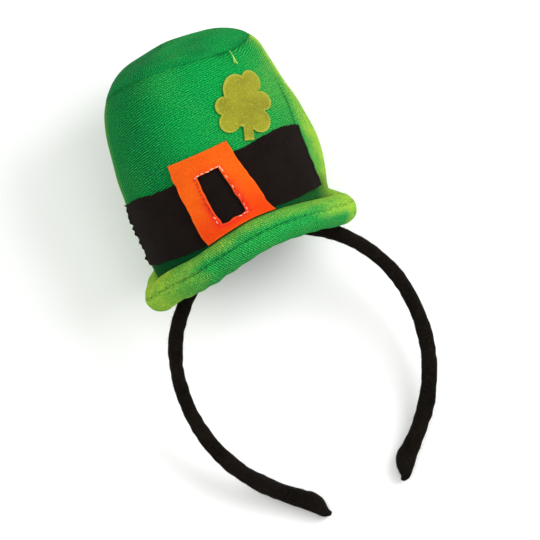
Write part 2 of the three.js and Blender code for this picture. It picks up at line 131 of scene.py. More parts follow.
def around(table, a):
    """The same for a table that goes all the way round, at azimuths in radians."""
    xs = np.concatenate([table[0] - 360, table[0], table[0] + 360])
    ys = np.concatenate([table[1]] * 3)
    deg = np.degrees(a)
    return through(xs, ys, deg - 360 * np.floor((deg + 180) / 360))


def smooth(x, low, high):
    """Smooth step: 0 below low, 1 above high, 3t^2 - 2t^3 between."""
    t = np.clip((x - low) / (high - low), 0, 1)
    return t * t * (3 - 2 * t)


def bell(x, width):
    """Gaussian bump exp(-(x / width)^2)."""
    return np.exp(-(x / width) ** 2)


def apart(a, degrees):
    """Signed angle in degrees from an azimuth in radians to one in degrees."""
    turn = np.degrees(a) - degrees
    return turn - 360 * np.round(turn / 360)


def ripple(p, q, seed, waves=9, low=1.0, high=4.0):
    """Smooth noise of about unit size: a sum of sines of p and q at seeded directions and phases."""
    rng = np.random.default_rng(seed)
    total = 0.0
    for _ in range(waves):
        turn, pace, phase = rng.uniform(0, 2 * PI), rng.uniform(low, high), rng.uniform(0, 2 * PI)
        total = total + np.sin(pace * (p * math.cos(turn) + q * math.sin(turn)) + phase)
    return total * math.sqrt(2 / waves) * 0.7


def round_ripple(a, h, seed, pace=3.0, climb=5.0):
    """Smooth noise over a ring of azimuths and a height that meets itself all the way round."""
    return ripple(pace * np.sin(a) + 0.6 * climb * h, pace * np.cos(a) - climb * h, seed, 10, 0.7, 2.2)


def loop_ripple(a, seed, low, high, waves=8):
    """Noise round a ring: a sum of sines of whole multiples of the azimuth, seeded."""
    rng = np.random.default_rng(seed)
    total = 0.0
    for _ in range(waves):
        total = total + np.sin(rng.integers(low, high + 1) * a + rng.uniform(0, 2 * PI))
    return total * math.sqrt(2 / waves) * 0.7


def brim_height(a):
    """Middle of the roll: droop * (wave(a) - sin(a)^2), a saddle."""
    return DROOP * (around(WAVE, a) - np.sin(a) ** 2)


def brim_top(x, y):
    """Upper side of the roll over a point of the plan: its middle plus the half chord there."""
    out = np.hypot(x, y) - ROLL_RADIUS
    return brim_height(np.arctan2(x, -y)) + np.sqrt(np.maximum(ROLL ** 2 - out ** 2, 0))


def crown_foot(a, inward=0.0):
    """Height of the crown's lower edge: a seat above the roll, right under its wall."""
    radius = PROFILE[1, 0] * CROWN_RADIUS - inward
    centre = PROFILE[2, 0] * CROWN_LEAN
    return SEAT + brim_top(centre + radius * np.sin(a), -radius * np.cos(a))


def seam_height(a):
    """Height of the shoulder seam: shoulder * rise(a)."""
    return SHOULDER * around(SEAM, a)


def dents(a, h):
    """Radial push: bells in azimuth and height at the side seam, the pucker and the soft shoulder."""
    rows = ((66, 0.45, 5, 0.45, 0.016), (38, 0.97, 11, 0.05, 0.03), (-62, 0.9, 16, 0.08, 0.018))
    push = 0.0
    for at, up, wide, tall, deep in rows:
        push = push + deep * CROWN_RADIUS * bell(apart(a, at), wide) * bell(h - up, tall)
    return push


def crown_side(a, h, off):
    """A point off the crown side: its profile's radius and lean at height share h, less the dents."""
    radius = CROWN_RADIUS * through(PROFILE[0], PROFILE[1], h) - dents(a, h) + off
    centre = CROWN_LEAN * through(PROFILE[0], PROFILE[2], h)
    foot = crown_foot(a, np.maximum(-np.asarray(off), 0) * (h <= 0))
    z = foot + (seam_height(a) - foot) * h
    return np.stack([centre + radius * np.sin(a), -radius * np.cos(a), z], -1)


def crown_at(a, z, off):
    """The same at a height in millimetres."""
    foot = crown_foot(a)
    point = crown_side(a, (z - foot) / (seam_height(a) - foot), off)
    point[..., 2] = z
    return point


def felt_foot(a, off):
    """Lower edge of a felt piece just above the roll."""
    radius, centre = PROFILE[1, 1] * CROWN_RADIUS, PROFILE[2, 1] * CROWN_LEAN
    reach = np.stack([radius + off, radius + off + FELT], 0)
    return 2 * SEAT + np.max(brim_top(centre + reach * np.sin(a), -reach * np.cos(a)), axis=0)


def band_edges(deg):
    """Lower and upper edge of the hat band at azimuths in degrees."""
    a = np.radians(deg)
    off = np.full_like(a, SEAT)
    low = felt_foot(a, off)
    low = low + BAND_TALL * through(CUT[0], CUT[1], deg)
    return low, low + BAND_TALL * through(CUT[0], CUT[2], deg)


def place(points, on_hat=True):
    """Upright millimetres to metres where the hat lies: the shift, a turn about x, and the drop."""
    x, y, z = np.moveaxis(np.asarray(points, float), -1, 0)
    if on_hat:
        x = x + HAT_SHIFT
    s, c = math.sin(TILT), math.cos(TILT)
    laid = np.stack([x + LAID[0], y * s + z * c + LAID[1], -y * c + z * s + LAID[2]], -1)
    laid[..., 2] = np.maximum(laid[..., 2], TABLE_GAP)
    return laid * MM


# Meshes
def mesh_piece(name, verts, faces, uvs=None, marks=None, weld=2e-6):
    """A piece from arrays: vertices, quads or triangles, corner UVs in metres, named point values."""
    mesh = bpy.data.meshes.new(name)
    mesh.from_pydata(verts.reshape(-1, 3).tolist(), [], faces.tolist())
    if uvs is not None:
        layer = mesh.uv_layers.new(name="cloth")
        layer.data.foreach_set("uv", np.ascontiguousarray(uvs, dtype=np.float32).ravel())
    for key, value in (marks or {}).items():
        layer = mesh.attributes.new(key, "FLOAT", "POINT")
        layer.data.foreach_set("value", np.ascontiguousarray(value, dtype=np.float32).ravel())
    work = bmesh.new()
    work.from_mesh(mesh)
    bmesh.ops.remove_doubles(work, verts=work.verts, dist=weld)
    bmesh.ops.dissolve_degenerate(work, edges=work.edges, dist=weld / 4)
    bmesh.ops.recalc_face_normals(work, faces=work.faces)
    if work.calc_volume(signed=True) < 0:
        bmesh.ops.reverse_faces(work, faces=work.faces)
    work.to_mesh(mesh)
    work.free()
    mesh.shade_smooth()
    piece = bpy.data.objects.new(name, mesh)
    bpy.context.scene.collection.objects.link(piece)
    return piece


def grid_piece(name, points, uv, ring, loop, wrap=(0.0, 0.0), marks=None, weld=2e-6):
    """A piece from a grid of points in metres; ring closes the rows and loop closes each row.

    wrap is added to the UVs where a face crosses the first row or column again.
    """
    rows, cols = points.shape[:2]
    i, j = np.meshgrid(np.arange(rows if ring else rows - 1), np.arange(cols if loop else cols - 1),
                       indexing="ij")
    i, j = i.ravel(), j.ravel()
    corner_i = np.stack([i, i + 1, i + 1, i], -1)
    corner_j = np.stack([j, j, j + 1, j + 1], -1)
    faces = (corner_i % rows) * cols + corner_j % cols
    flat = uv.reshape(-1, 2)[faces]
    flat[..., 0] += (corner_i >= rows) * wrap[0]
    flat[..., 1] += (corner_j >= cols) * wrap[1]
    return mesh_piece(name, points, faces, flat, marks, weld)


def shell(outer, inner):
    """Outer rows followed by the inner rows backwards, so that each row is one closed loop."""
    return np.concatenate([outer, inner[:, ::-1]], axis=1)


def tubes(name, paths, radius, sides=6, weld=1e-6, marks=None):
    """Many round threads in one mesh: paths (k, n, 3) in metres, radius (k, n) or a number.

    Each ring is path + r (cos t * side + sin t * up), side and up square to the path.
    """
    count, steps = paths.shape[:2]
    ahead = np.gradient(paths, axis=1)
    ahead /= np.linalg.norm(ahead, axis=-1, keepdims=True) + 1e-12
    hint = np.where(np.abs(ahead[..., 2:]) < 0.9, np.array([0.0, 0.0, 1.0]), np.array([1.0, 0.0, 0.0]))
    hint = np.repeat(hint[:, steps // 2: steps // 2 + 1], steps, axis=1)
    side = np.cross(hint, ahead)
    side /= np.linalg.norm(side, axis=-1, keepdims=True) + 1e-12
    up = np.cross(ahead, side)
    turn = np.arange(sides) * 2 * PI / sides
    radius = np.broadcast_to(np.asarray(radius, float), (count, steps))[..., None, None]
    rings = (paths[:, :, None] + radius * (np.cos(turn)[:, None] * side[:, :, None]
                                           + np.sin(turn)[:, None] * up[:, :, None]))
    k, i, j = np.meshgrid(np.arange(count), np.arange(steps - 1), np.arange(sides), indexing="ij")
    base = k * steps * sides
    faces = np.stack([base + i * sides + j, base + i * sides + (j + 1) % sides,
                      base + (i + 1) * sides + (j + 1) % sides, base + (i + 1) * sides + j],
                     -1).reshape(-1, 4)
    return mesh_piece(name, rings, faces, None, marks, weld)


def tapered(steps, thick, power=0.5):
    """Radii that close to nothing at both ends: thick * (1 - (2s - 1)^8)^power."""
    s = np.linspace(-1, 1, steps)
    return thick * np.maximum(1 - s ** 8, 0) ** power


def read_points(mesh):
    """Vertex places of a mesh as one array."""
    out = np.empty(len(mesh.vertices) * 3)
    mesh.vertices.foreach_get("co", out)
    return out.reshape(-1, 3)


def evaluated_copy(piece, name):
    """A new mesh with the piece's modifiers applied."""
    graph = bpy.context.evaluated_depsgraph_get()
    mesh = bpy.data.meshes.new_from_object(piece.evaluated_get(graph))
    mesh.name = name
    return mesh


def filled(small, skin, seam, on_hat, cap, voxel=2.2):
    """How a stuffed skin moves when it is filled, in metres, for each point of the grid skin.

    The slightly smaller grid small is remeshed, held along the seam and swollen as cloth under pressure
    with no gravity; each of its points moves at most cap, and the fine skin is drawn onto it.
    """
    scene = bpy.context.scene
    rows, cols = small.shape[:2]
    start = grid_piece("skin_to_fill", place(small, on_hat), np.zeros((rows, cols, 2)), on_hat, True)
    remesh = start.modifiers.new("remesh", "REMESH")
    remesh.mode = "VOXEL"
    remesh.voxel_size = voxel * MM
    cloth_mesh = evaluated_copy(start, "cloth_skin")
    skin_piece = bpy.data.objects.new("cloth_skin", cloth_mesh)
    scene.collection.objects.link(skin_piece)
    before = read_points(cloth_mesh)
    line = place(seam, on_hat)
    gap = np.min(np.linalg.norm(before[:, None] - line[None, ::4], axis=-1), axis=1)
    held = skin_piece.vertex_groups.new(name="held")
    held.add(np.flatnonzero(gap < 1.6 * voxel * MM).tolist(), 1.0, "REPLACE")
    cloth = skin_piece.modifiers.new("cloth", "CLOTH")
    cloth.settings.vertex_group_mass = "held"
    cloth.settings.use_pressure = True
    cloth.settings.uniform_pressure_force = 4.0
    cloth.settings.effector_weights.gravity = 0.0
    cloth.settings.quality = 5
    cloth.point_cache.frame_start, cloth.point_cache.frame_end = 1, FILL_STEPS
    for step in range(1, FILL_STEPS + 1):
        scene.frame_set(step)
    after = read_points(evaluated_copy(skin_piece, "filled_skin"))
    move = after - before
    length = np.linalg.norm(move, axis=-1, keepdims=True)
    move = move * np.minimum(1, cap * MM / np.maximum(length, 1e-9))
    skin_piece.modifiers.clear()
    cloth_mesh.vertices.foreach_set("co", (before + move).ravel())
    cloth_mesh.update()
    fine_mesh = bpy.data.meshes.new("fine_skin")
    fine_mesh.from_pydata(place(skin, on_hat).reshape(-1, 3).tolist(), [], [])
    fine = bpy.data.objects.new("fine_skin", fine_mesh)
    scene.collection.objects.link(fine)
    wrap = fine.modifiers.new("wrap", "SHRINKWRAP")
    wrap.target = skin_piece
    drawn = read_points(evaluated_copy(fine, "drawn_skin")).reshape(skin.shape) - place(skin, on_hat)
    scene.frame_set(1)
    for piece in (start, skin_piece, fine):
        bpy.data.objects.remove(piece, do_unlink=True)
    for mesh in [m for m in bpy.data.meshes if m.users == 0]:
        bpy.data.meshes.remove(mesh)
    for _ in range(3):
        behind, ahead = np.roll(drawn, 1, 0), np.roll(drawn, -1, 0)
        if not on_hat:
            behind[0], ahead[-1] = drawn[0], drawn[-1]
        drawn = (drawn + behind + ahead + np.roll(drawn, 1, 1) + np.roll(drawn, -1, 1)) / 5
    return drawn


# Velour pieces
AROUND = 420


def seam_draw(a):
    """How hard the shoulder seam is drawn in round the crown: most on the left and at the pucker."""
    right = 1.0 * bell(apart(a, 36), 7) + 0.5 * bell(apart(a, 58), 15)
    return 0.1 + 0.5 * bell(apart(a, -40), 22) + right + 0.4 * bell(apart(a, 150), 60)


def fold_line(h):
    """Azimuth in degrees of the soft fold on the right, which leans outward as it climbs."""
    return 58 + 14 * smooth(h, 0.3, 0.85)


def velour_relief(a, h, side_mm):
    """Relief of the crown side in mm: seam groove, puckers under the shoulder, side seams, soft dents."""
    down = (1 - h) * side_mm
    groove = -0.55 * seam_draw(a) * bell(down, 1.7)
    pleats = 0.16 * loop_ripple(a, 5, 22, 47) * bell(down - 4, 5) * (0.5 + seam_draw(a))
    draw = -1.3 * bell(apart(a, 40.5), 3.2) * bell(down - 2.0, 3.6)
    draw = draw - 0.7 * bell(apart(a, 33), 10) * bell(down - 2.5, 2.6)
    fan = np.sin(np.degrees(a) * 1.1 + 0.5 * down) * bell(apart(a, 50), 9) * bell(down - 7, 6)
    draw = draw + 0.16 * fan
    fold_at = fold_line(h)
    fold = -1.0 * bell(apart(a, fold_at), 1.1) + 0.5 * bell(apart(a, fold_at + 3.8), 2.6)
    fold = fold * smooth(-h, -0.8, -0.62) * smooth(1 - h, 0.02, 0.15)
    back = -0.9 * bell(apart(a, 190), 1.2) * smooth(1 - h, 0.02, 0.15)
    soft = 0.28 * round_ripple(a, h, 11) * smooth(h, 0.0, 0.1)
    return groove + pleats + draw + fold + back + soft


def velour_painted_sheen(a, h):
    """Painted sheen and light: the crown side goes yellow most on its right side, a little on the left,
    with a faint random part.
    """
    turn = apart(a, 0)
    past = turn - fold_line(h)
    right = 0.22 * smooth(past, -12, 2) + 0.22 * smooth(past, 0, 9) + 0.7 * smooth(past, 3, 24)
    right = (right + 0.5 * smooth(turn, 74, 90)) * (1 - 0.72 * smooth(turn, 92, 128))
    right = right * smooth(-np.abs(apart(a, 95)), -80, -55)
    left = 0.28 * smooth(-turn, 66, 84) * smooth(-np.abs(apart(a, -110)), -60, -20)
    near = 0.2 * smooth(turn, 8, 46) * smooth(-np.abs(apart(a, 60)), -60, -20)
    near = near * smooth(-h, -0.95, -0.7)
    return np.clip(np.maximum(right, near) + left + 0.06 * round_ripple(a, h, 3, 6, 8), 0, 1)


def velour_painted_shade(a, h):
    """Painted shade: how far the crown side goes to its deep green, on the left of the front and at the
    far back, a little at random.
    """
    left = smooth(-apart(a, -8), 0, 32) * smooth(apart(a, -100), 0, 30)
    back = 0.6 * smooth(np.abs(apart(a, 0)), 110, 160)
    return np.clip(0.9 * left + back + 0.14 * round_ripple(a, h, 7, 6, 8), 0, 1)


RISE_FROM = math.radians(12)  # of the ellipse at the seam, so that the top leans in like the side
SIDE_ROWS, TOP_ROWS = 150, 84


def dome(a, share, inward, relief):
    """Top of the crown: an ellipse from RISE_FROM up to its pole, its centre sliding to DOME_LEAN."""
    low = math.sin(RISE_FROM)
    turn = RISE_FROM + share * (PI / 2 - RISE_FROM)
    up = (np.sin(turn) - low) / (1 - low)
    reach = np.where(share < 1, (np.cos(turn) / math.cos(RISE_FROM)) ** DOME_ROUND, 0.0)
    radius = reach * (CROWN_RADIUS * PROFILE[1, -1] - dents(a, 1) - inward + relief)
    foot = seam_height(a) + SEAT
    centre = CROWN_LEAN + (DOME_LEAN - CROWN_LEAN) * up
    z = foot + (SHOULDER + DOME_RISE - inward - foot) * up
    z = z + 0.35 * ripple(radius * np.sin(a) / 9, radius * np.cos(a) / 9, 23) * (1 - reach) ** 0.5
    return np.stack([centre + radius * np.sin(a), -radius * np.cos(a), z], -1)


def soft_shoulder(side, top, below=9.5, above=8.5):
    """Side and top as one skin: near the seam each profile is a cubic with the slopes of both."""
    whole = np.concatenate([side, top], axis=1)
    step = np.linalg.norm(np.diff(whole, axis=1), axis=-1).mean(axis=0)
    run = np.concatenate([[0], np.cumsum(step)])
    run = run - run[side.shape[1] - 1]
    first, last = np.searchsorted(run, [-below, above])
    t = ((run[first:last] - run[first]) / (run[last] - run[first]))[None, :, None]
    start, end = whole[:, first:first + 1], whole[:, last:last + 1]
    chord = np.linalg.norm(end - start, axis=-1, keepdims=True)
    leave = (start - whole[:, first - 1:first]) / (run[first] - run[first - 1]) * chord
    arrive = (whole[:, last + 1:last + 2] - end) / (run[last + 1] - run[last]) * chord
    whole[:, first:last] = ((2 * t ** 3 - 3 * t ** 2 + 1) * start + (t ** 3 - 2 * t ** 2 + t) * leave
                            + (3 * t ** 2 - 2 * t ** 3) * end + (t ** 3 - t ** 2) * arrive)
    return whole[:, :side.shape[1]], whole[:, side.shape[1]:]


def make_crown():
    """Wall and top of the crown: the soft skin plus relief outside, the same less the wall inside."""
    a = (np.arange(AROUND) * 2 * PI / AROUND - PI)[:, None]
    h = np.linspace(0, 1, SIDE_ROWS)[None, :] ** 0.94
    share = np.linspace(0, 1, TOP_ROWS)[None, :] ** 1.15
    side_mm = seam_height(a) - crown_foot(a)
    away = share * 48
    draw = seam_draw(a)
    side, top = soft_shoulder(crown_side(a, h, 0 * h), dome(a, share, 0, 0 * share))
    side = side + crown_side(a, h, velour_relief(a, h, side_mm)) - crown_side(a, h, 0 * h)
    lift = -0.55 * draw * bell(away, 1.7) + 0.15 * draw * bell(away - 4.5, 3.0)
    lift = lift + 0.15 * loop_ripple(a, 8, 18, 39) * bell(away - 4, 5) * (0.4 + draw)
    lift = lift - 1.2 * bell(apart(a, 40), 4) * bell(away, 4.0)
    top = top + dome(a, share, 0, lift) - dome(a, share, 0, 0 * share)
    top = top - np.array([0.0, 0.0, 0.35]) * (bell(away, 2.0) * draw)[..., None]

    side[..., 2] -= 0.27 * bell(h * side_mm, 2.2)
    h_in = np.linspace(0, 1, 24)[None, :]
    side_in = crown_side(a, h_in, -WALL - 0.8 - 1.2 * smooth(h_in, 0.8, 1) + 0 * a)
    side_in[:, 0] = crown_side(a, 0 * h_in[:, :1], -WALL + 0 * a)[:, 0]
    share_in = np.linspace(0, 1, 20)[None, :]
    top_in = dome(a, share_in, WALL + 0.9, 0 * share_in)
    side_uv = [np.stack(np.broadcast_arrays(a * CROWN_RADIUS, rows * SHOULDER), -1)
               for rows in (h, h_in)]
    wide, long = TOP_CLOTH
    top_uv = [np.stack([(1 - rows) * wide * np.sin(a), (1 - rows) * long * np.cos(a)], -1)
              for rows in (share, share_in)]
    # Painted shade in the creases: darker colour in the shoulder seam groove, along the fold on the
    # right, and at the crown's foot under the band.
    seam = 0.42 * draw * bell((1 - h) * side_mm, 1.5)
    foot = 0.98 * smooth(-h * side_mm, -15, -7) * smooth(-np.abs(apart(a, -10)), -120, -60)
    fold = 0.6 * bell(apart(a, fold_line(h)), 1.1) * smooth(-h, -0.8, -0.6) * smooth(h, 0.3, 0.4)
    seam = np.maximum(seam, fold)
    # The yellow mark is painted sheen with a little random variation; the shade mark is painted shade.
    side_marks = {"tone_and_painted_sheen": velour_painted_sheen(a, h), "shade": velour_painted_shade(a, h),
                  "painted_crease_shade": np.maximum(seam, foot)}
    across = (1 - share) * wide
    flecks = ripple(across * np.sin(a) / 6, across * np.cos(a) / 6, 31)
    clouds = ripple(across * np.sin(a) / 8, across * np.cos(a) / 8, 32)
    # On the top: faint random yellow flecks, painted shade on the left and at the back over random
    # clouds, and painted shade in the seam groove.
    top_marks = {"tone_and_painted_sheen": 0.01 + 0.02 * flecks,
                 "shade": 0.18 + 0.2 * clouds + 0.6 * smooth(-apart(a, 0), -10, 50)
                 + 0.25 * smooth(np.abs(apart(a, 0)), 110, 160),
                 "painted_crease_shade": 0.5 * draw * bell(away, 2.8)}
    made = []
    for name, outer, inner, uv, marks, wrap in (
            ("crown_velour_side", side, side_in, side_uv, side_marks, 2 * PI * CROWN_RADIUS * MM),
            ("crown_velour_top", top, top_in, top_uv, top_marks, 0.0)):
        plain = np.zeros((AROUND, inner.shape[1]))
        marks = {key: np.concatenate([np.clip(value, 0, 1) + 0 * a, plain], 1)
                 for key, value in marks.items()}
        made.append(grid_piece(name, place(shell(outer, inner)), shell(*uv) * MM, True, True,
                               (wrap, 0.0), marks))
    return made


SEAM_TURN = math.radians(12)


def roll_point(a, turn, swell=0.0):
    """A point of the brim roll: a circle round the drooping ring, plus a swelling in mm."""
    reach = ROLL + swell
    radius = ROLL_RADIUS + reach * np.cos(turn)
    return np.stack(np.broadcast_arrays(radius * np.sin(a), -radius * np.cos(a),
                                        brim_height(a) + reach * np.sin(turn)), -1)


def under_crown(turn):
    """1 where the crown stands on the roll, inside its top, and 0 away from there."""
    return bell(np.degrees(turn - SEAM_TURN) % 360 - 98, 34)


def from_seam(turn):
    """Distance in mm round the roll from its edge seam."""
    off = turn - SEAM_TURN
    return np.abs(off - 2 * PI * np.round(off / (2 * PI))) * ROLL


def roll_relief(a, turn):
    """Relief of the roll: a stitched groove, small gathers beside it and soft lumps of filling."""
    off_seam = from_seam(turn)
    groove = -(0.3 + 0.4 * smooth(-np.abs(apart(a, -4)), -60, -30)) * bell(off_seam, 0.6)
    gathers = 0.14 * loop_ripple(a, 15, 60, 110) * bell(off_seam - 1.4, 1.8)
    lumps = 0.22 * loop_ripple(a, 16, 7, 19) * np.cos(turn * 2 + 1) + 0.16 * loop_ripple(a, 19, 20, 34)
    thin = -0.5 * smooth(np.abs(np.sin(a)), 0.85, 1.0) * smooth(np.sin(turn), -0.1, 0.6)
    thin = thin * smooth(np.cos(turn), -0.1, 0.3)
    under = 1.15 * bell(apart(a, -12), 34) * smooth(-np.sin(turn), -0.1, 0.8)
    tip = 0.75 * bell(apart(a, 88), 15) * smooth(np.cos(turn), 0.2, 0.9)
    return (groove + gathers + lumps + thin + under + tip - 0.1) * (1 - under_crown(turn))


def make_brim():
    """Stuffed roll of the brim: circle section round the saddle shaped ring, filled, with its relief."""
    rows, cols = 480, 96
    a = (np.arange(rows) * 2 * PI / rows - PI)[:, None]
    turn = (np.arange(cols) * 2 * PI / cols)[None, :] + SEAM_TURN
    skin = roll_point(a, turn, 0.0)
    outward = roll_point(a, turn, 1.0) - skin
    seam_line = roll_point(a[:, 0], np.full(rows, SEAM_TURN), -0.5)
    swelling = filled(roll_point(a[::3], turn[:, ::3], -0.7), skin, seam_line, True, 0.9)
    points = place(skin) + swelling * (1 - under_crown(turn))[..., None]
    relief = place(skin + outward * roll_relief(a, turn)[..., None]) - place(skin)
    points = points + relief
    points[..., 2] = np.maximum(points[..., 2], TABLE_GAP * MM)
    uv = np.stack(np.broadcast_arrays(a * ROLL_RADIUS, (turn - SEAM_TURN) * ROLL), -1) * MM
    # Painted sheen on the roll: yellow towards both ends, on its upper side and on the right, less under
    # the right end, plus a little random variation.
    left, right = smooth(-np.sin(a), 0.3, 0.9), smooth(np.sin(a), 0.55, 0.99)
    upper = (0.44 + 0.38 * right + 0.26 * left) * smooth(np.sin(turn), 0.15, 0.85)
    ends = 0.9 * left + 0.2 * left * smooth(-np.sin(a), 0.9, 1.0)
    tone_and_painted_sheen = np.maximum(np.maximum(ends, right * (0.85 + 0.2 * np.cos(turn + 0.6))), upper)
    tone_and_painted_sheen = tone_and_painted_sheen - 0.9 * right * smooth(-np.sin(turn), 0.0, 0.6) * smooth(-np.sin(a), -0.99, -0.9)
    tone_and_painted_sheen = tone_and_painted_sheen + 0.09 * round_ripple(a, np.sin(turn), 4, 9, 2) - 0.06
    # Painted shade: the underside of the roll is darker, with random variation.
    shade = 0.45 * smooth(-np.sin(turn), -0.1, 0.7) + 0.2 * round_ripple(a, np.sin(turn), 6, 9, 2)
    # Painted shade in the stitched seam groove, strongest at the front.
    seen = 0.35 + 0.65 * smooth(-np.abs(apart(a, -2)), -50, -22)
    seen = seen * (0.75 + 0.25 * loop_ripple(a, 21, 50, 110, 5))
    return grid_piece("brim_velour_roll", points, uv, True, True,
                      (2 * PI * ROLL_RADIUS * MM, 2 * PI * ROLL * MM),
                      {"tone_and_painted_sheen": np.clip(tone_and_painted_sheen, 0, 1), "shade": np.clip(shade, 0, 1),
                       "painted_crease_shade": np.clip(0.75 * seen * bell(from_seam(turn), 0.6), 0, 1)})


# Felt pieces
def round_edge(distance, radius=0.55):
    """Half thickness share near a cut edge: a quarter circle of the given radius."""
    t = np.clip(1 - distance / radius, 0, 1)
    return np.sqrt(np.maximum(1 - t * t, 0))


def finer(count, pad=5, reach=0.012):
    """Shares from 0 to 1 with a few extra ones close to both ends."""
    close = reach * (np.arange(pad) / pad) ** 2
    return np.concatenate([close, np.linspace(reach, 1 - reach, count), 1 - close[::-1]])


def felt_shell(name, a, z, middle, edge, uv, ring, marks=None):
    """Felt of even thickness round a middle surface off the crown, its cut edges rounded."""
    outer = crown_at(a, z, middle + edge * FELT / 2)
    inner = crown_at(a, z, middle - edge * FELT / 2)
    marks = {k: shell(v[..., None], v[..., None])[..., 0] for k, v in (marks or {}).items()}
    return grid_piece(name, place(shell(outer, inner)), shell(uv, uv) * MM, ring, True,
                      (0.0, 0.0), marks, 4e-6)


def make_band():
    """Strip of felt round the front: heights between its two cut edges, both ends ragged."""
    across = finer(300, reach=0.004)[:, None]
    up = finer(70, reach=0.012)[None, :]
    ragged = 1.0 * ripple(up * 7, 0 * up, 41, 9, 1, 5) + 0.8 * ripple(up * 30, 0 * up, 42, 9, 1, 3)
    out = (1 - up) * BAND_SLANT * (2 * across - 1)
    deg = BAND_FROM + (BAND_TO - BAND_FROM) * across + out
    deg = deg + (ragged + 0.4 + 2.2 * (1 - up)) * (1 - across) ** 14 - 0.3 * ragged * across ** 14
    deg = deg - across ** 10 * (2.3 * up + 6.0 * np.sin(PI * up))
    low, high = band_edges(deg)
    low = low - 1.7 * smooth(deg, 15, 62)
    high = high + 0.35 * ripple(deg * 0.09, 0 * deg, 43, 9, 1, 5) + 0.15 * ripple(deg * 0.5, 0 * deg, 44)
    low = low + 0.3 + 0.3 * ripple(deg * 0.11, 0 * deg, 45, 9, 1, 5)
    z = low + (high - low) * up
    wide = (BAND_TO - BAND_FROM) / 180 * PI * CROWN_RADIUS
    border = np.minimum(np.minimum(across, 1 - across) * wide, np.minimum(up, 1 - up) * BAND_TALL)
    lift = 0.35 * bell(across * wide, 3.5) + 0.3 * bell((1 - across) * wide, 3.0)
    lift = lift * (1 - 0.3 * np.cos(up * 9)) + 0.18 * ripple(deg * 0.09, up * 3, 46)
    torn = ripple(up * 26, 0 * up, 47, 9, 1, 3) + 0.6 * ripple(up * 60, 0 * up, 48, 9, 1, 2)
    lift = lift + (0.1 + 0.42 * torn) * bell(across * wide, 1.8)
    loose = smooth(np.abs(apart(np.radians(deg), -7)), 26, 40)
    middle = SEAT + FELT / 2 + 0.1 + np.maximum(lift, -0.1) * loose
    uv = np.stack(np.broadcast_arrays(np.radians(deg) * CROWN_RADIUS, up * BAND_TALL), -1)
    return felt_shell("hat_band_felt", np.radians(deg), z, middle, round_edge(border), uv, False,
                      {"rim": bell(border, 0.8)})


def buckle_height(across, share):
    """Height on the crown and distance off it, at places across in widths and heights as shares."""
    a = across * BUCKLE_WIDE / CROWN_RADIUS
    off = SEAT * 2 + FELT
    z = felt_foot(a, np.full_like(a, off))
    z = z + (BUCKLE_TOP - z) * share
    _, top = band_edges(np.degrees(a))
    down = smooth(z - top, LEDGE, LEDGE + STEP)
    return a, z, off + (SEAT - off) * down + 0.25


def frame_edge(table, count):
    """Closed outline of the buckle or its hole: up the left side, over, down and back."""
    side = finer(count, reach=0.012)
    tall = table[0, 0] + (table[0, -1] - table[0, 0]) * side
    left, right = through(table[0], table[1], tall), through(table[0], table[2], tall)
    top = left[-1] + (right[-1] - left[-1]) * side
    foot = left[0] + (right[0] - left[0]) * side
    return np.concatenate([np.stack([left, tall], -1)[1:], np.stack([top, 0 * top + tall[-1]], -1)[1:],
                           np.stack([right, tall], -1)[::-1][1:],
                           np.stack([foot, 0 * foot + tall[0]], -1)[::-1][1:]])


def make_buckle():
    """Felt frame: straight rays from the outer outline to the hole, laid over the band."""
    outside, inside = frame_edge(FRAME_OUT, 60), frame_edge(FRAME_IN, 60)
    share = finer(34, reach=0.03)[None, :, None]
    flat = outside[:, None] + (inside - outside)[:, None] * share
    reach = np.linalg.norm((inside - outside) * np.array([BUCKLE_WIDE, BUCKLE_TOP]), axis=-1)[:, None]
    share = share[..., 0]
    border = np.minimum(share, 1 - share) * reach
    wobble = 0.004 * ripple(flat[..., 1] * 14, flat[..., 0] * 14, 51) * bell(border, 2)
    to_hole = (1 - share) * reach
    wave = 0.008 * ripple(flat[..., 0] * 34, 0 * flat[..., 1], 53, 7, 0.5, 1.3) * bell(to_hole, 1.5)
    wave = wave * bell(flat[..., 1] - 0.1, 0.06)
    a, z, off = buckle_height(flat[..., 0] + wobble, flat[..., 1] + wave)
    pulled = 1.1 * bell(to_hole - 0.8, 2.4) * (0.85 + 0.15 * ripple(a * 40, z * 0.9, 54))
    pulled = pulled * (0.3 + 0.7 * smooth(-flat[..., 1], -0.7, -0.3))
    curl = 0.3 * bell(border, 1.4) * (0.4 + 0.6 * smooth(ripple(a * 6, z * 0.2, 52), -0.5, 1))
    uv = np.stack([flat[..., 0] * BUCKLE_WIDE, flat[..., 1] * BUCKLE_TOP], -1)
    return felt_shell("buckle_felt", a, z, off + FELT / 2 + curl, round_edge(border), uv, True,
                      {"rim": bell(border, 0.9), "low": np.clip(1 - flat[..., 1], 0, 1),
                       "pulled": np.clip(pulled, 0, 1)})


def leaf_reach(turn):
    """Edge of the shamrock along a ray: the farthest of its core, six circles and the stem."""
    reach = np.full_like(turn, CORE)
    for at, out, size in LOBES:
        aside = turn - math.radians(at)
        miss = out * np.sin(aside)
        edge = out * np.cos(aside) + np.sqrt(np.maximum(size ** 2 - miss ** 2, 0))
        reach = np.where(np.abs(miss) < size, np.maximum(reach, edge), reach)
    at, long, half = STEM
    aside = turn - math.radians(at)
    sides = half / np.maximum(np.abs(np.sin(aside)), 1e-6)
    stem = np.where(np.cos(aside) > 0, np.minimum(long / np.maximum(np.cos(aside), 1e-6), sides), 0)
    return np.maximum(reach, stem) * LEAF


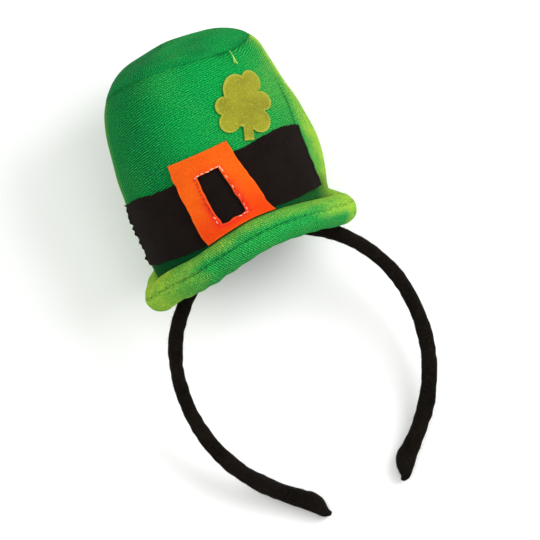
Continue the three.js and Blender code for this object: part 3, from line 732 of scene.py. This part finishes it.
def make_shamrock():
    """Felt leaf: rays from its middle to the lobed edge, laid on the crown."""
    turn = np.linspace(-PI, PI, 520, endpoint=False)
    corner = math.atan(STEM[2] / STEM[1])
    extra = math.radians(STEM[0]) + corner * np.array([-1.0, -0.98, 0.98, 1.0])
    turn = np.sort(np.concatenate([turn, extra]))[:, None]
    rim = leaf_reach(turn)
    rim = np.maximum(rim, (np.roll(rim, 1, 0) + np.roll(rim, -1, 0)) / 2 * 0.995)
    share = np.concatenate([np.linspace(0, 0.93, 26), 1 - 0.07 * (np.arange(7)[::-1] / 7) ** 2])[None, :]
    reach = rim * share
    middle = band_edges(np.degrees(np.array([LEAF_ACROSS / CROWN_RADIUS])))[1][0] + LEAF_RISE
    middle_radius = CROWN_RADIUS * through(PROFILE[0], PROFILE[1], np.array(middle / SHOULDER))
    a = (LEAF_ACROSS + reach * np.cos(turn)) / middle_radius
    z = middle + reach * np.sin(turn)
    border = rim * (1 - share)
    curl = 0.35 * bell(border, 2.0) * (0.5 + 0.5 * np.sin(turn * 3 + 1))
    uv = np.stack([reach * np.cos(turn), reach * np.sin(turn)], -1)
    return felt_shell("shamrock_felt", a, z, SEAT + FELT / 2 + 0.15 + curl, round_edge(border), uv, True,
                      {"rim": bell(border, 1.0)})


def make_base():
    """Felt disc inside the roll, bent to the saddle, a little puckered at its rim."""
    a = (np.arange(240) * 2 * PI / 240)[:, None]
    share = np.concatenate([np.linspace(0, 0.97, 40), [0.985, 0.995, 1.0]])[None, :]
    radius = share * BASE_RADIUS
    saddle = brim_height(a) * (radius / ROLL_RADIUS) ** 2 - BASE_SINK
    pucker = 0.35 * loop_ripple(a, 61, 30, 60) * smooth(share, 0.75, 1.0)
    half = BASE_THICK / 2 * round_edge(BASE_RADIUS - radius, 0.7)
    rim = (bell(1 - share, 0.04) + 0 * a)[..., None]

    def face(way):
        lift = pucker * (1 if way > 0 else smooth(share, 0.8, 1))
        return np.stack(np.broadcast_arrays(radius * np.sin(a), -radius * np.cos(a),
                                            saddle + lift * half + way * half), -1)

    uv = np.stack(np.broadcast_arrays(radius * np.sin(a), radius * np.cos(a)), -1)
    return grid_piece("base_felt", place(shell(face(1), face(-1))), shell(uv, uv) * MM, True, True,
                      (0.0, 0.0), {"rim": shell(rim, rim)[..., 0]}, 4e-6)


# Headband
HOOP_HALF = BOW_RADIUS * BOW_TURN + ARM_RADIUS * (ARM_TURN - BOW_TURN) + ARM_STRAIGHT + 0.6


def hoop_line(distance):
    """Middle line of the headband: an arc over the head, a wider arc down each arm, a straight end."""
    run = np.abs(distance)
    bow_end = BOW_RADIUS * BOW_TURN
    arm_end = bow_end + ARM_RADIUS * (ARM_TURN - BOW_TURN)
    on_arm = run > bow_end
    arm_turn = np.minimum(BOW_TURN + (run - bow_end) / ARM_RADIUS, ARM_TURN)
    turn = np.where(on_arm, arm_turn, run / BOW_RADIUS)
    radius = np.where(on_arm, ARM_RADIUS, BOW_RADIUS)
    past = np.maximum(run - arm_end, 0)
    shift = (BOW_RADIUS - ARM_RADIUS) * on_arm
    x = shift * math.sin(BOW_TURN) + radius * np.sin(turn) + past * np.cos(turn)
    z = (HOOP_TOP - HOOP_THICK / 2 - BOW_RADIUS + shift * math.cos(BOW_TURN)
         + radius * np.cos(turn) - past * np.sin(turn))
    return np.sign(distance) * x, z, np.sign(distance) * turn


def hoop_point(distance, angle, swell):
    """A point of the sleeve: a squared oval section across the middle line, plus a swelling in mm."""
    x, z, turn = hoop_line(distance)
    to_end = np.minimum((HOOP_HALF - np.abs(distance)) / TIP, 1)
    size = 1 + 0.16 * smooth(np.abs(distance) / HOOP_HALF, 0.35, 0.9)
    inner = through(TIPS[0], TIPS[1], to_end) * size * HOOP_THICK / 2
    outer = through(TIPS[0], TIPS[2], to_end) * size * HOOP_THICK / 2
    depth = through(TIPS[0], TIPS[3], to_end) * HOOP_DEEP / 2

    def squared(value):
        return np.sign(value) * np.abs(value) ** 0.7

    cos, sin = np.cos(angle), np.sin(angle)
    out = -inner + (outer + inner) * (1 + squared(cos)) / 2 + swell * cos
    y = depth * squared(sin) + swell * sin + 0 * x
    return np.stack(np.broadcast_arrays(x + out * np.sin(turn), y, z + out * np.cos(turn)), -1)


def capped(grid):
    """The grid with three more rows at each end that shrink to the middle of the end row."""
    def cap(end):
        middle = end.mean(axis=1, keepdims=True)
        return [middle + (end - middle) * share for share in (0.85, 0.5, 0.0)]

    return np.concatenate([*cap(grid[:1])[::-1], grid, *cap(grid[-1:])])


def make_headband():
    """Padded sleeve carried along the hoop, filled, with soft lumps and pinched, folded-in tips."""
    s = np.linspace(-1, 1, 560)
    distance = (np.sign(s) * (1 - (1 - np.abs(s)) ** 1.12) * HOOP_HALF)[:, None]
    cols = 48
    angle = (np.arange(cols) * 2 * PI / cols)[None, :]
    swell = (0.20 * ripple(distance / 9, np.sin(angle) * 1.5, 71)
             + 0.14 * ripple(distance / 3.2, np.cos(angle), 72))
    near = HOOP_HALF - np.abs(distance)
    swell = swell - 0.35 * bell(near - 15.5, 1.6) * np.maximum(-np.cos(angle), 0)
    swell = swell * smooth(near, 0.0, 3.0) + 0.15 + 0.62 * smooth(near, 1.0, 6.0) + 0.1 * bell(near, 9)
    seam = -0.45 * bell(np.abs(angle - PI) * HOOP_DEEP / 4, 0.6)
    skin = hoop_point(distance, angle, 0 * swell)
    small = capped(hoop_point(distance[2:-2:4], angle[:, ::2], -0.6))
    line = hoop_point(distance[:, 0], np.full(len(distance), PI), 0)
    swelling = filled(small, skin, line, False, 0.45, 2.0) * smooth(near, 2.0, 9.0)[..., None]
    points = place(hoop_point(distance, angle, swell + seam * smooth(near, 2, 8)), False) + swelling
    points[..., 2] = np.maximum(points[..., 2], TABLE_GAP * MM)
    past = np.array([[0.2], [0.5], [0.9]])
    run = np.concatenate([distance[:1] - past[::-1], distance, distance[-1:] + past])
    uv = np.stack(np.broadcast_arrays(run, angle / (2 * PI) * SLEEVE_GIRTH), -1) * MM
    return grid_piece("headband_sleeve", capped(points), uv, False, True, (0.0, SLEEVE_GIRTH * MM))


# Threads and loose fibres
def stitch_paths(starts, ends, outward, lift, sink, steps=9):
    """Arched stitches: straight from start to end, plus a bow along outward.

    The bow is lift * 4s(1 - s) - sink * (2s - 1)^4.
    """
    s = np.linspace(0, 1, steps)[None, :, None]
    bow = lift * 4 * s * (1 - s) - sink * (2 * s - 1) ** 4
    return starts[:, None] + (ends - starts)[:, None] * s + outward[:, None] * bow


def radial(a):
    """Outward direction in the plan at azimuths."""
    return np.stack([np.sin(a), -np.cos(a), 0 * a], -1)


def on_skin(piece, paths, high, low):
    """Paths drawn to the nearest skin: high above it in the middle, low under it at the ends."""
    rise = high - (high + low) * np.linspace(-1, 1, paths.shape[1]) ** 4
    out = np.empty_like(paths)
    for i, path in enumerate(paths):
        for j, point in enumerate(path):
            _, near, normal, _ = piece.closest_point_on_mesh(Vector(point))
            out[i, j] = np.array(near) + np.array(normal) * rise[j]
    return out


def make_brim_stitches(piece):
    """Running stitches in the groove of the roll."""
    rng = np.random.default_rng(81)
    pitch = 2.5 / ROLL_RADIUS
    a = np.arange(int(2 * PI / pitch)) * pitch
    turn = SEAM_TURN + rng.normal(0, 0.012, a.size)
    start = roll_point(a, turn)
    end = roll_point(a + pitch * rng.uniform(0.5, 0.7, a.size), turn + rng.normal(0, 0.02, a.size))
    steps = 7
    paths = place(stitch_paths(start, end, radial(a), 0.0, 0.0, steps))
    paths = on_skin(piece, paths, 0.02 * MM, 0.4 * MM)
    return tubes("brim_stitches", paths, tapered(steps, 0.13 * MM))


def make_buckle_stitches():
    """Running stitches just outside the hole of the buckle: left side, top, right side, short foot."""
    rng = np.random.default_rng(83)
    tall = np.linspace(0.125, 0.765, 15)
    left = through(FRAME_IN[0], FRAME_IN[1], tall) - 1.35 / BUCKLE_WIDE
    right = through(FRAME_IN[0], FRAME_IN[2], tall) + 0.95 / BUCKLE_WIDE
    over = np.linspace(left[-1] + 0.02, right[-1], 6)
    line = np.concatenate([np.stack([left, tall], -1), np.stack([over, 0 * over + 0.772], -1),
                           np.stack([right, tall], -1)[::-1]])
    foot = np.stack([np.linspace(right[0], right[0] - 0.13, 4), np.full(4, 0.1)], -1)
    starts = np.concatenate([line[:-1], foot[:-1]])
    ends = np.concatenate([line[1:], foot[1:]])
    cut = rng.uniform(0.6, 0.92, len(starts))[:, None]
    ends = starts + (ends - starts) * cut + rng.normal(0, 0.005, starts.shape)
    starts = starts + rng.normal(0, 0.006, starts.shape)

    def on_felt(flat):
        a, z, off = buckle_height(flat[:, 0], flat[:, 1])
        return a, crown_at(a, z, off + FELT + 0.05)

    a, start = on_felt(starts)
    _, end = on_felt(ends)
    steps, sides = 9, 6
    paths = stitch_paths(start, end, radial(a), 0.3, 0.45, steps)
    number = np.arange(len(paths))  # red up the left, pale over the top, both down the right
    red = np.where(number % 3 == 0, 0.15, 1.0)
    red = np.where(number < 14, 1.05, np.where(number < 23, 0.0, red))
    red = np.where((number == 1) | (number == 2) | (number > 32), 0.2, red)
    red = red + rng.uniform(-0.12, 0.12, len(paths))
    shade = np.repeat(np.clip(red, 0, 1), steps * sides)
    return tubes("buckle_stitches", place(paths), tapered(steps, 0.2 * MM), sides,
                 marks={"shade": shade})


def make_tuft():
    """Loose thread ends at the pucker under the top: curved strands hanging from one hole."""
    rng = np.random.default_rng(84)
    count, steps = 9, 14
    s = np.linspace(0, 1, steps)[None, :]
    lean = rng.uniform(-1, 1, (count, 1))
    long = rng.uniform(5.0, 8.6, (count, 1))
    hole, crown_here = math.radians(41.8), 44  # its azimuth, and the crown's radius in mm there
    aside = 1.5 * s ** 2 - 0.55 * lean * s ** 1.4 - 0.45 * np.sin(s * 6 + lean * 2) * s
    a = hole - aside / crown_here
    z = seam_height(np.array(hole)) + 1.0 - long * s ** 1.1
    off = 0.1 + 1.5 * np.sin(s * PI * 0.8) + 0.2 * lean * s
    points = crown_at(a, z, off)
    radius = 0.13 * MM * np.maximum(1 - s ** 6, 0) ** 0.5 * np.ones((count, 1))
    radius[:, 0] = 0
    return tubes("thread_tuft", place(points), radius, 5)


def fibres(name, roots, outward, longest, thick, seed, spread=0.8):
    """Short bent hairs: root + outward * l s + a sideways bend * s^2, thinning to a point."""
    rng = np.random.default_rng(seed)
    count = len(roots)
    s = np.linspace(0, 1, 4)[None, :, None]
    outward = outward[:, None]
    long = rng.uniform(0.35, 1.0, (count, 1, 1)) * longest
    bend = np.clip(rng.normal(0, spread, (count, 1, 3)), -1.1, 1.1)
    paths = roots[:, None] + outward * long * s + bend * long * s ** 2 - outward * 0.15 * MM
    paths[..., 2] = np.maximum(paths[..., 2], HAIR_GAP * MM)
    return tubes(name, paths, thick * (1 - s[..., 0]) * np.ones((count, 1)), 3, 1e-8)


def surface_fibres(name, piece, count, longest, thick, seed, keep=None):
    """Hairs rooted at seeded places on a piece, area by area, standing along its normals."""
    rng = np.random.default_rng(seed)
    mesh = piece.data
    mesh.calc_loop_triangles()
    tri = np.empty(len(mesh.loop_triangles) * 3, np.int32)
    mesh.loop_triangles.foreach_get("vertices", tri)
    tri = tri.reshape(-1, 3)
    corner = read_points(mesh)[tri]
    cross = np.cross(corner[:, 1] - corner[:, 0], corner[:, 2] - corner[:, 0])
    area = np.linalg.norm(cross, axis=-1)
    weight = area * (keep(corner.mean(axis=1), cross / (area[:, None] + 1e-15)) if keep else 1.0)
    pick = rng.choice(len(tri), count, p=weight / weight.sum())
    mix = rng.dirichlet((1, 1, 1), count)
    roots = (corner[pick] * mix[..., None]).sum(axis=1)
    outward = cross[pick] / (area[pick][:, None] + 1e-15)
    return fibres(name, roots, outward, longest, thick, seed + 1)


def band_ends(middle, outward):
    """More hairs near the left end of the band than elsewhere."""
    return 1 + 14 * (middle[:, 0] < (HAT_SHIFT - 49.0) * MM)


# Shader groups
def new_group(name, inputs, outputs):
    """A shader group with its sockets; returns its tree, its input node and its output node."""
    tree = bpy.data.node_groups.new(name, "ShaderNodeTree")
    for label, kind, value in inputs:
        socket = tree.interface.new_socket(label, in_out="INPUT", socket_type=kind)
        if value is not None:
            socket.default_value = value
    for label, kind in outputs:
        tree.interface.new_socket(label, in_out="OUTPUT", socket_type=kind)
    return tree, tree.nodes.new("NodeGroupInput"), tree.nodes.new("NodeGroupOutput")


class Net:
    """Short ways to add nodes to a tree and link them."""

    def __init__(self, tree):
        self.tree = tree

    def put(self, kind, settings=None, **inputs):
        """A node; inputs go by name, with _ for a space, or by place as i0, i1 and so on."""
        node = self.tree.nodes.new("ShaderNode" + kind)
        for key, value in (settings or {}).items():
            setattr(node, key, value)
        for key, value in inputs.items():
            self.feed(node.inputs[int(key[1:]) if key[0] == "i" and key[1:].isdigit()
                                  else key.replace("_", " ")], value)
        return node

    def feed(self, socket, value):
        """Links a socket to an output, or sets its value."""
        if hasattr(value, "is_output") or isinstance(value, bpy.types.NodeSocket):
            self.tree.links.new(value, socket)
        else:
            socket.default_value = value

    def mark(self, key):
        """A named point value of the mesh."""
        return self.put("Attribute", {"attribute_name": key}).outputs["Fac"]

    def math(self, operation, a, b=0.0, c=0.0, clamp=False):
        """A math node: MULTIPLY_ADD is a * b + c."""
        node = self.tree.nodes.new("ShaderNodeMath")
        node.operation = operation
        node.use_clamp = clamp
        for socket, value in zip(node.inputs, (a, b, c)):
            self.feed(socket, value)
        return node.outputs[0]

    def scaled(self, vector, factors):
        """vector * factors, axis by axis."""
        return self.put("VectorMath", {"operation": "MULTIPLY"}, i0=vector, i1=factors).outputs[0]

    def moved(self, vector, other):
        """vector + other."""
        return self.put("VectorMath", {"operation": "ADD"}, i0=vector, i1=other).outputs[0]

    def noise(self, vector, scale, detail=3.0, rough=0.55, out="Fac"):
        """Noise at scale waves to the metre."""
        node = self.put("TexNoise", Vector=vector, Scale=scale, Detail=detail, Roughness=rough)
        return node.outputs[out]

    def remap(self, value, low, high, to_low=0.0, to_high=1.0):
        """A smooth step from to_low at low to to_high at high."""
        node = self.tree.nodes.new("ShaderNodeMapRange")
        node.interpolation_type = "SMOOTHSTEP"
        for socket, item in zip(node.inputs, (value, low, high, to_low, to_high)):
            self.feed(socket, item)
        return node.outputs[0]

    def blend(self, share, first, second):
        """first * (1 - share) + second * share."""
        node = self.tree.nodes.new("ShaderNodeMix")
        node.data_type = "RGBA"
        self.feed(node.inputs[0], share)
        self.feed(node.inputs[6], first)
        self.feed(node.inputs[7], second)
        return node.outputs[2]

    def bump(self, height, strength, distance):
        """A normal tilted by height, at most distance metres."""
        return self.put("Bump", Height=height, Strength=strength, Distance=distance).outputs[0]


def pile_group():
    """Velour pile: fine wavering ribs along one direction of the cloth, tufts, and brushed patches."""
    tree, given, put = new_group(
        "velour_pile",
        [("Cloth", "NodeSocketVector", None), ("Pitch", "NodeSocketFloat", 0.001),
         ("Slant", "NodeSocketFloat", 0.0), ("Waver", "NodeSocketFloat", 0.0006)],
        [("Ribs", "NodeSocketFloat"), ("Tufts", "NodeSocketFloat"), ("Patches", "NodeSocketFloat")])
    net = Net(tree)
    cloth = given.outputs["Cloth"]
    sway = net.noise(cloth, 130.0, 2.0, 0.5, "Color")
    sway = net.moved(sway, (-0.5, -0.5, -0.5))
    swayed = net.put("VectorMath", {"operation": "SCALE"}, i0=sway).outputs[0]
    tree.links.new(given.outputs["Waver"], swayed.node.inputs["Scale"])
    bent = net.moved(cloth, swayed)
    split = net.put("SeparateXYZ", Vector=bent)
    along = net.math("MULTIPLY", split.outputs["X"], given.outputs["Slant"])
    line = net.math("DIVIDE", net.math("ADD", split.outputs["Y"], along), given.outputs["Pitch"])
    ribs = net.math("MULTIPLY_ADD", net.math("SINE", net.math("MULTIPLY", line, 2 * PI)), 0.5, 0.5)
    aside = net.math("MULTIPLY_ADD", split.outputs["Y"], -0.3, split.outputs["X"])
    wales = net.math("SINE", net.math("DIVIDE", net.math("MULTIPLY", aside, 2 * PI), 0.00105))
    wales = net.math("MULTIPLY_ADD", wales, 0.24, 0.76)
    dashes = net.noise(net.scaled(bent, (700.0, 1700.0, 1.0)), 1.0, 2.0, 0.6)
    broken = net.math("MULTIPLY", wales, net.remap(dashes, 0.3, 0.62, 0.3, 1.0))
    ribs = net.math("MULTIPLY", ribs, broken)
    tree.links.new(ribs, put.inputs["Ribs"])
    tree.links.new(net.remap(net.noise(cloth, 1350.0, 3.0, 0.7), 0.3, 0.7), put.inputs["Tufts"])
    slow = net.remap(net.noise(cloth, 75.0, 4.0, 0.6), 0.3, 0.7)
    quick = net.remap(net.noise(cloth, 420.0, 3.0, 0.6), 0.3, 0.7)
    patches = net.math("MULTIPLY_ADD", quick, 0.5, net.math("MULTIPLY", slow, 0.5))
    tree.links.new(patches, put.inputs["Patches"])
    return tree


def felt_group():
    """Pressed felt: matted short fibres at two sizes, and slow unevenness."""
    tree, given, put = new_group(
        "matted_felt", [("Place", "NodeSocketVector", None), ("Size", "NodeSocketFloat", 1.0)],
        [("Grain", "NodeSocketFloat"), ("Strands", "NodeSocketFloat"), ("Uneven", "NodeSocketFloat")])
    net = Net(tree)
    spot = net.put("VectorMath", {"operation": "SCALE"}, i0=given.outputs["Place"])
    tree.links.new(given.outputs["Size"], spot.inputs["Scale"])
    spot = spot.outputs[0]
    swirl = net.moved(net.scaled(net.noise(spot, 900.0, 2.0, 0.5, "Color"), (0.002, 0.002, 0.002)), spot)
    strands = net.noise(net.scaled(swirl, (1.0, 4.0, 2.0)), 700.0, 3.0, 0.65)
    tree.links.new(net.remap(net.noise(spot, 2100.0, 4.0, 0.65), 0.3, 0.7), put.inputs["Grain"])
    tree.links.new(net.remap(strands, 0.42, 0.62), put.inputs["Strands"])
    tree.links.new(net.remap(net.noise(spot, 90.0, 3.0, 0.55), 0.3, 0.7), put.inputs["Uneven"])
    return tree


PILE = pile_group()
MATTED = felt_group()


def start_material(name, rough, sheen, sheen_rough, sheen_tint, specular=0.25):
    """A cloth material with its constants on the shader itself; returns it, its net and its shader."""
    material = bpy.data.materials.new(name)
    material.use_nodes = True
    net = Net(material.node_tree)
    shader = material.node_tree.nodes["Principled BSDF"]
    shader.inputs["Roughness"].default_value = rough
    shader.inputs["Sheen Weight"].default_value = sheen
    shader.inputs["Sheen Roughness"].default_value = sheen_rough
    shader.inputs["Sheen Tint"].default_value = (*sheen_tint, 1.0)
    shader.inputs["Specular IOR Level"].default_value = specular
    return material, net, shader


def placed_group(net, tree, **inputs):
    """A node of a shader group, with its inputs by name."""
    node = net.put("Group", {"node_tree": tree})
    for key, value in inputs.items():
        net.feed(node.inputs[key], value)
    return node


def velour_material(name, pitch, slant, waver, rib_share, deep, mid, light, yellow):
    """Ribbed velour: lighter ribs over a green with painted shade towards deep, painted sheen towards
    yellow, and painted shade in the creases.
    """
    material, net, shader = start_material(name, 0.9, 0.05, 0.4, (0.15, 1.0, 0.15), 0.02)
    cloth = net.put("UVMap", {"uv_map": "cloth"}).outputs[0]
    pile = placed_group(net, PILE, Cloth=cloth, Pitch=pitch, Slant=slant, Waver=waver)
    ribs, tufts, patches = (pile.outputs[key] for key in ("Ribs", "Tufts", "Patches"))
    patchy = net.math("MULTIPLY_ADD", patches, 0.6, -0.3)
    # Painted shade: the green goes towards the deep colour, broken up by patches.
    shade = net.math("ADD", net.mark("shade"), patchy, clamp=True)
    # Painted sheen: the green goes towards yellow, with random patches and tufts.
    tone_and_painted_sheen = net.math("MULTIPLY", net.mark("tone_and_painted_sheen"), net.math("MULTIPLY_ADD", patches, 0.7, 0.65))
    tone_and_painted_sheen = net.math("ADD", tone_and_painted_sheen, net.math("MULTIPLY_ADD", tufts, 0.2, -0.13), clamp=True)
    # The ribs show more where the painted shade is.
    plain = net.math("MULTIPLY_ADD", net.mark("shade"), 0.35, 0.65)
    share = net.math("MULTIPLY", net.math("MULTIPLY", plain, rib_share),
                     net.math("MULTIPLY_ADD", patches, -0.5, 1.2))
    colour = net.blend(shade, (*mid, 1), (*deep, 1))
    colour = net.blend(tone_and_painted_sheen, colour, (*yellow, 1))
    dark = net.put("Mix", {"data_type": "RGBA", "blend_type": "MULTIPLY"})
    net.feed(dark.inputs[0], net.math("MULTIPLY", net.math("SUBTRACT", 1.0, ribs), share, clamp=True))
    net.feed(dark.inputs[6], colour)
    net.feed(dark.inputs[7], (0.16, 0.38, 0.34, 1))
    colour = net.blend(net.math("MULTIPLY", ribs, net.math("MULTIPLY", share, 0.5), clamp=True),
                       dark.outputs[2], (*light, 1))
    low_pile = net.scaled(colour, (0.35, 0.56, 0.52))
    high_pile = net.moved(net.scaled(colour, (1.25, 1.28, 1.25)), (0.002, 0.028, 0.014))
    colour = net.blend(tufts, low_pile, high_pile)
    # Painted shade in the creases: a darker copy of the deep colour.
    colour = net.blend(net.math("MULTIPLY", net.mark("painted_crease_shade"), 0.86, clamp=True), colour,
                       (deep[0] * 0.4, deep[1] * 0.17, deep[2] * 0.25, 1))
    net.feed(shader.inputs["Base Color"], colour)
    height = net.math("ADD", net.math("MULTIPLY", ribs, 0.6), net.math("MULTIPLY", tufts, 0.5))
    net.feed(shader.inputs["Normal"], net.bump(height, 0.8, 0.0004))
    net.feed(shader.inputs["Roughness"], net.remap(tufts, 0, 1, 0.78, 0.94))
    return material


def felt_material(name, dark, main, light, sheen_tint, rim=0.35, low=None, sheen=0.35):
    """Pressed felt: strands lighter than the ground, a paler cut rim, and a redder foot if asked."""
    material, net, shader = start_material(name, 0.9, sheen, 0.5, sheen_tint, 0.06)
    where = net.put("TexCoord").outputs["Object"]
    felt = placed_group(net, MATTED, Place=where, Size=1.0)
    colour = net.blend(felt.outputs["Uneven"], (*dark, 1), (*main, 1))
    colour = net.blend(net.math("MULTIPLY", felt.outputs["Strands"], 0.55), colour, (*light, 1))
    colour = net.blend(net.math("MULTIPLY", felt.outputs["Grain"], 0.4), colour, (*dark, 1))
    if low is not None:
        colour = net.blend(net.remap(net.mark("low"), 0.5, 0.92, 0.0, 0.75), colour, (*low, 1))
        colour = net.blend(net.mark("pulled"), colour, (low[0], low[1] * 0.5, low[2] * 3, 1))
    colour = net.blend(net.math("MULTIPLY", net.mark("rim"), rim), colour, (*light, 1))
    net.feed(shader.inputs["Base Color"], colour)
    height = net.math("ADD", net.math("MULTIPLY", felt.outputs["Grain"], 0.5), felt.outputs["Strands"])
    net.feed(shader.inputs["Normal"], net.bump(height, 0.7, 0.00035))
    net.feed(shader.inputs["Roughness"], net.remap(felt.outputs["Grain"], 0, 1, 0.82, 0.97))
    return material


def sleeve_material():
    """Brushed knitted sleeve: short cross ribs under a matted nap, nearly black."""
    material, net, shader = start_material("brushed_sleeve", 0.92, 0.02, 0.4, (0.5, 0.4, 0.34), 0.02)
    cloth = net.put("UVMap", {"uv_map": "cloth"}).outputs[0]
    where = net.put("TexCoord").outputs["Object"]
    across = net.put("Mapping", Vector=cloth, Rotation=(0, 0, PI / 2)).outputs[0]
    pile = placed_group(net, PILE, Cloth=across, Pitch=0.00115, Slant=0.18, Waver=0.0009)
    nap = placed_group(net, MATTED, Place=where, Size=0.8)
    colour = net.blend(nap.outputs["Uneven"], (0.0035, 0.0027, 0.0020, 1), (0.0085, 0.0065, 0.005, 1))
    strands = net.math("MULTIPLY", nap.outputs["Strands"], 0.5)
    colour = net.blend(strands, colour, (0.021, 0.016, 0.012, 1))
    net.feed(shader.inputs["Base Color"], colour)
    height = net.math("ADD", net.math("MULTIPLY", pile.outputs["Ribs"], 0.55), nap.outputs["Strands"])
    net.feed(shader.inputs["Normal"], net.bump(height, 0.9, 0.0006))
    return material


def thread_material(name, first, second, attribute=None, rough=0.6):
    """Sewing thread: a fine twist in the bump, two shades by stitch."""
    material, net, shader = start_material(name, rough, 0.0, 0.4, (1.0, 1.0, 1.0), 0.03)
    where = net.put("TexCoord").outputs["Object"]
    twist = net.put("TexWave", {"bands_direction": "DIAGONAL"}, Vector=where, Scale=900.0,
                    Distortion=1.5).outputs["Fac"]
    share = net.remap(net.noise(where, 260.0, 2.0), 0.35, 0.65)
    if attribute:
        share = net.mark(attribute)
    net.feed(shader.inputs["Base Color"], net.blend(share, (*first, 1), (*second, 1)))
    net.feed(shader.inputs["Normal"], net.bump(twist, 0.4, 0.0001))
    return material


# Building
# Velour colours: deep is the painted shade, then mid, then the lighter rib crests, then the yellow of the
# painted sheen.
PAINTED_SHEEN_YELLOW = (0.68, 0.70, 0.045)
crown_cloth = velour_material("velour_crown", 0.00112, -0.14, 0.0017, 1.25, (0.002, 0.16, 0.036),
                              (0.0, 0.34, 0.058), (0.015, 0.58, 0.12), PAINTED_SHEEN_YELLOW)
top_cloth = velour_material("velour_top", 0.0015, 1.2, 0.0022, 1.35, (0.002, 0.14, 0.034),
                            (0.0, 0.34, 0.061), (0.01, 0.55, 0.13), PAINTED_SHEEN_YELLOW)
brim_cloth = velour_material("velour_brim", 0.0021, 1.9, 0.0013, 1.25, (0.003, 0.22, 0.050),
                             (0.004, 0.345, 0.060), (0.12, 0.72, 0.12), (0.74, 0.76, 0.045))
band_felt = felt_material("felt_black", (0.005, 0.003, 0.0025), (0.0088, 0.0052, 0.0042),
                          (0.016, 0.010, 0.008), (0.5, 0.42, 0.36), 0.2, None, 0.015)
buckle_felt = felt_material("felt_orange", (0.78, 0.085, 0.003), (0.90, 0.115, 0.004),
                            (0.95, 0.17, 0.015), (1.0, 0.5, 0.25), 0.35, (0.80, 0.04, 0.004), 0.05)
leaf_felt = felt_material("felt_olive", (0.20, 0.185, 0.012), (0.31, 0.30, 0.020), (0.46, 0.48, 0.055),
                          (0.9, 0.9, 0.5), 0.8, None, 0.05)
sleeve = sleeve_material()
dark_thread = thread_material("thread_dark_green", (0.004, 0.07, 0.016), (0.008, 0.12, 0.025))
pale_thread = thread_material("thread_pink", (0.86, 0.60, 0.50), (0.42, 0.02, 0.004), "shade")
tuft_thread = thread_material("thread_yellow_green", (0.55, 0.70, 0.16), (0.30, 0.52, 0.10))
hair = thread_material("black_fibre", (0.008, 0.006, 0.005), (0.014, 0.010, 0.008), None, 0.9)


def dress(piece, material, replaced=()):
    """Gives a piece its material and body, and hides the nodes it replaces."""
    piece.data.materials.append(material)
    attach(piece, "root")
    if replaced:
        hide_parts(*replaced)
    return piece


crown_wall, crown_dome = make_crown()
dress(crown_wall, crown_cloth, ["crown_side"])
dress(crown_dome, top_cloth, ["crown_top"])
brim = dress(make_brim(), brim_cloth, ["brim"])
base = dress(make_base(), band_felt, ["base"])
band = dress(make_band(), band_felt, ["hat_band"])
buckle = dress(make_buckle(), buckle_felt, ["buckle"])
leaf = dress(make_shamrock(), leaf_felt, ["shamrock"])
headband = dress(make_headband(), sleeve, ["headband"])
dress(make_brim_stitches(brim), dark_thread)
dress(make_buckle_stitches(), pale_thread)
dress(make_tuft(), tuft_thread)
dress(surface_fibres("headband_fuzz", headband, 9000, 1.1 * MM, 0.045 * MM, 91), hair)
dress(surface_fibres("band_fuzz", band, 3600, 1.0 * MM, 0.045 * MM, 93, band_ends), hair)

# Camera, floor and light
ELEVATION = math.radians(8.0)  # of the camera over the plane of the brim
ROLL_TURN = math.radians(25.0)  # of the hat in the picture, anticlockwise
FRAME_WIDE = 0.27216
DISTANCE = 12.0
view = np.array([0.0, -math.sin(TILT - ELEVATION), math.cos(TILT - ELEVATION)])
hat_up = np.array([0.0, math.cos(TILT - ELEVATION), math.sin(TILT - ELEVATION)])
hat_right = np.array([1.0, 0.0, 0.0])
right = math.cos(ROLL_TURN) * hat_right - math.sin(ROLL_TURN) * hat_up
up = math.sin(ROLL_TURN) * hat_right + math.cos(ROLL_TURN) * hat_up
middle = place(np.array([4.03, 0.0, -26.0]), False)
spot = middle + DISTANCE * view

eye = bpy.data.cameras.new("camera")
eye.sensor_width = 36.0
eye.angle = 2 * math.atan(FRAME_WIDE / 2 / DISTANCE)
camera = bpy.data.objects.new("camera", eye)
rows = np.eye(4)
rows[:3, 0], rows[:3, 1], rows[:3, 2], rows[:3, 3] = right, up, view, spot
camera.matrix_world = Matrix(rows.tolist())
bpy.context.scene.collection.objects.link(camera)
bpy.context.scene.camera = camera

floor_mesh = bpy.data.meshes.new("floor")
floor_mesh.from_pydata([(-4, -4, 0), (4, -4, 0), (4, 4, 0), (-4, 4, 0)], [], [(0, 1, 2, 3)])
floor = bpy.data.objects.new("floor", floor_mesh)
bpy.context.scene.collection.objects.link(floor)
pale = bpy.data.materials.new("pale_floor")
pale.use_nodes = True
pale.node_tree.nodes["Principled BSDF"].inputs["Base Color"].default_value = (0.93, 0.93, 0.92, 1)
pale.node_tree.nodes["Principled BSDF"].inputs["Roughness"].default_value = 0.9
floor_mesh.materials.append(pale)


def lamp(name, direction, distance, size, watts):
    """A soft square light over the hat, facing it."""
    light = bpy.data.lights.new(name, "AREA")
    light.energy = watts
    light.size = size
    piece = bpy.data.objects.new(name, light)
    way = Vector(direction).normalized()
    piece.location = Vector(middle) + way * distance
    piece.rotation_euler = way.to_track_quat("Z", "Y").to_euler()
    bpy.context.scene.collection.objects.link(piece)


lamp("key", right * 0.8 + up * 0.5 + view * 1.0, 1.1, 0.7, 10.5)
lamp("fill", -right * 0.9 + up * 0.1 + view * 1.0, 1.2, 0.9, 4.0)
lamp("front", view, 1.6, 1.0, 7.0)
world = bpy.data.worlds.new("studio")
world.use_nodes = True
world.node_tree.nodes["Background"].inputs["Color"].default_value = (1.0, 1.0, 1.0, 1)
world.node_tree.nodes["Background"].inputs["Strength"].default_value = 0.55
bpy.context.scene.world = world
bpy.context.scene.view_settings.view_transform = "Standard"
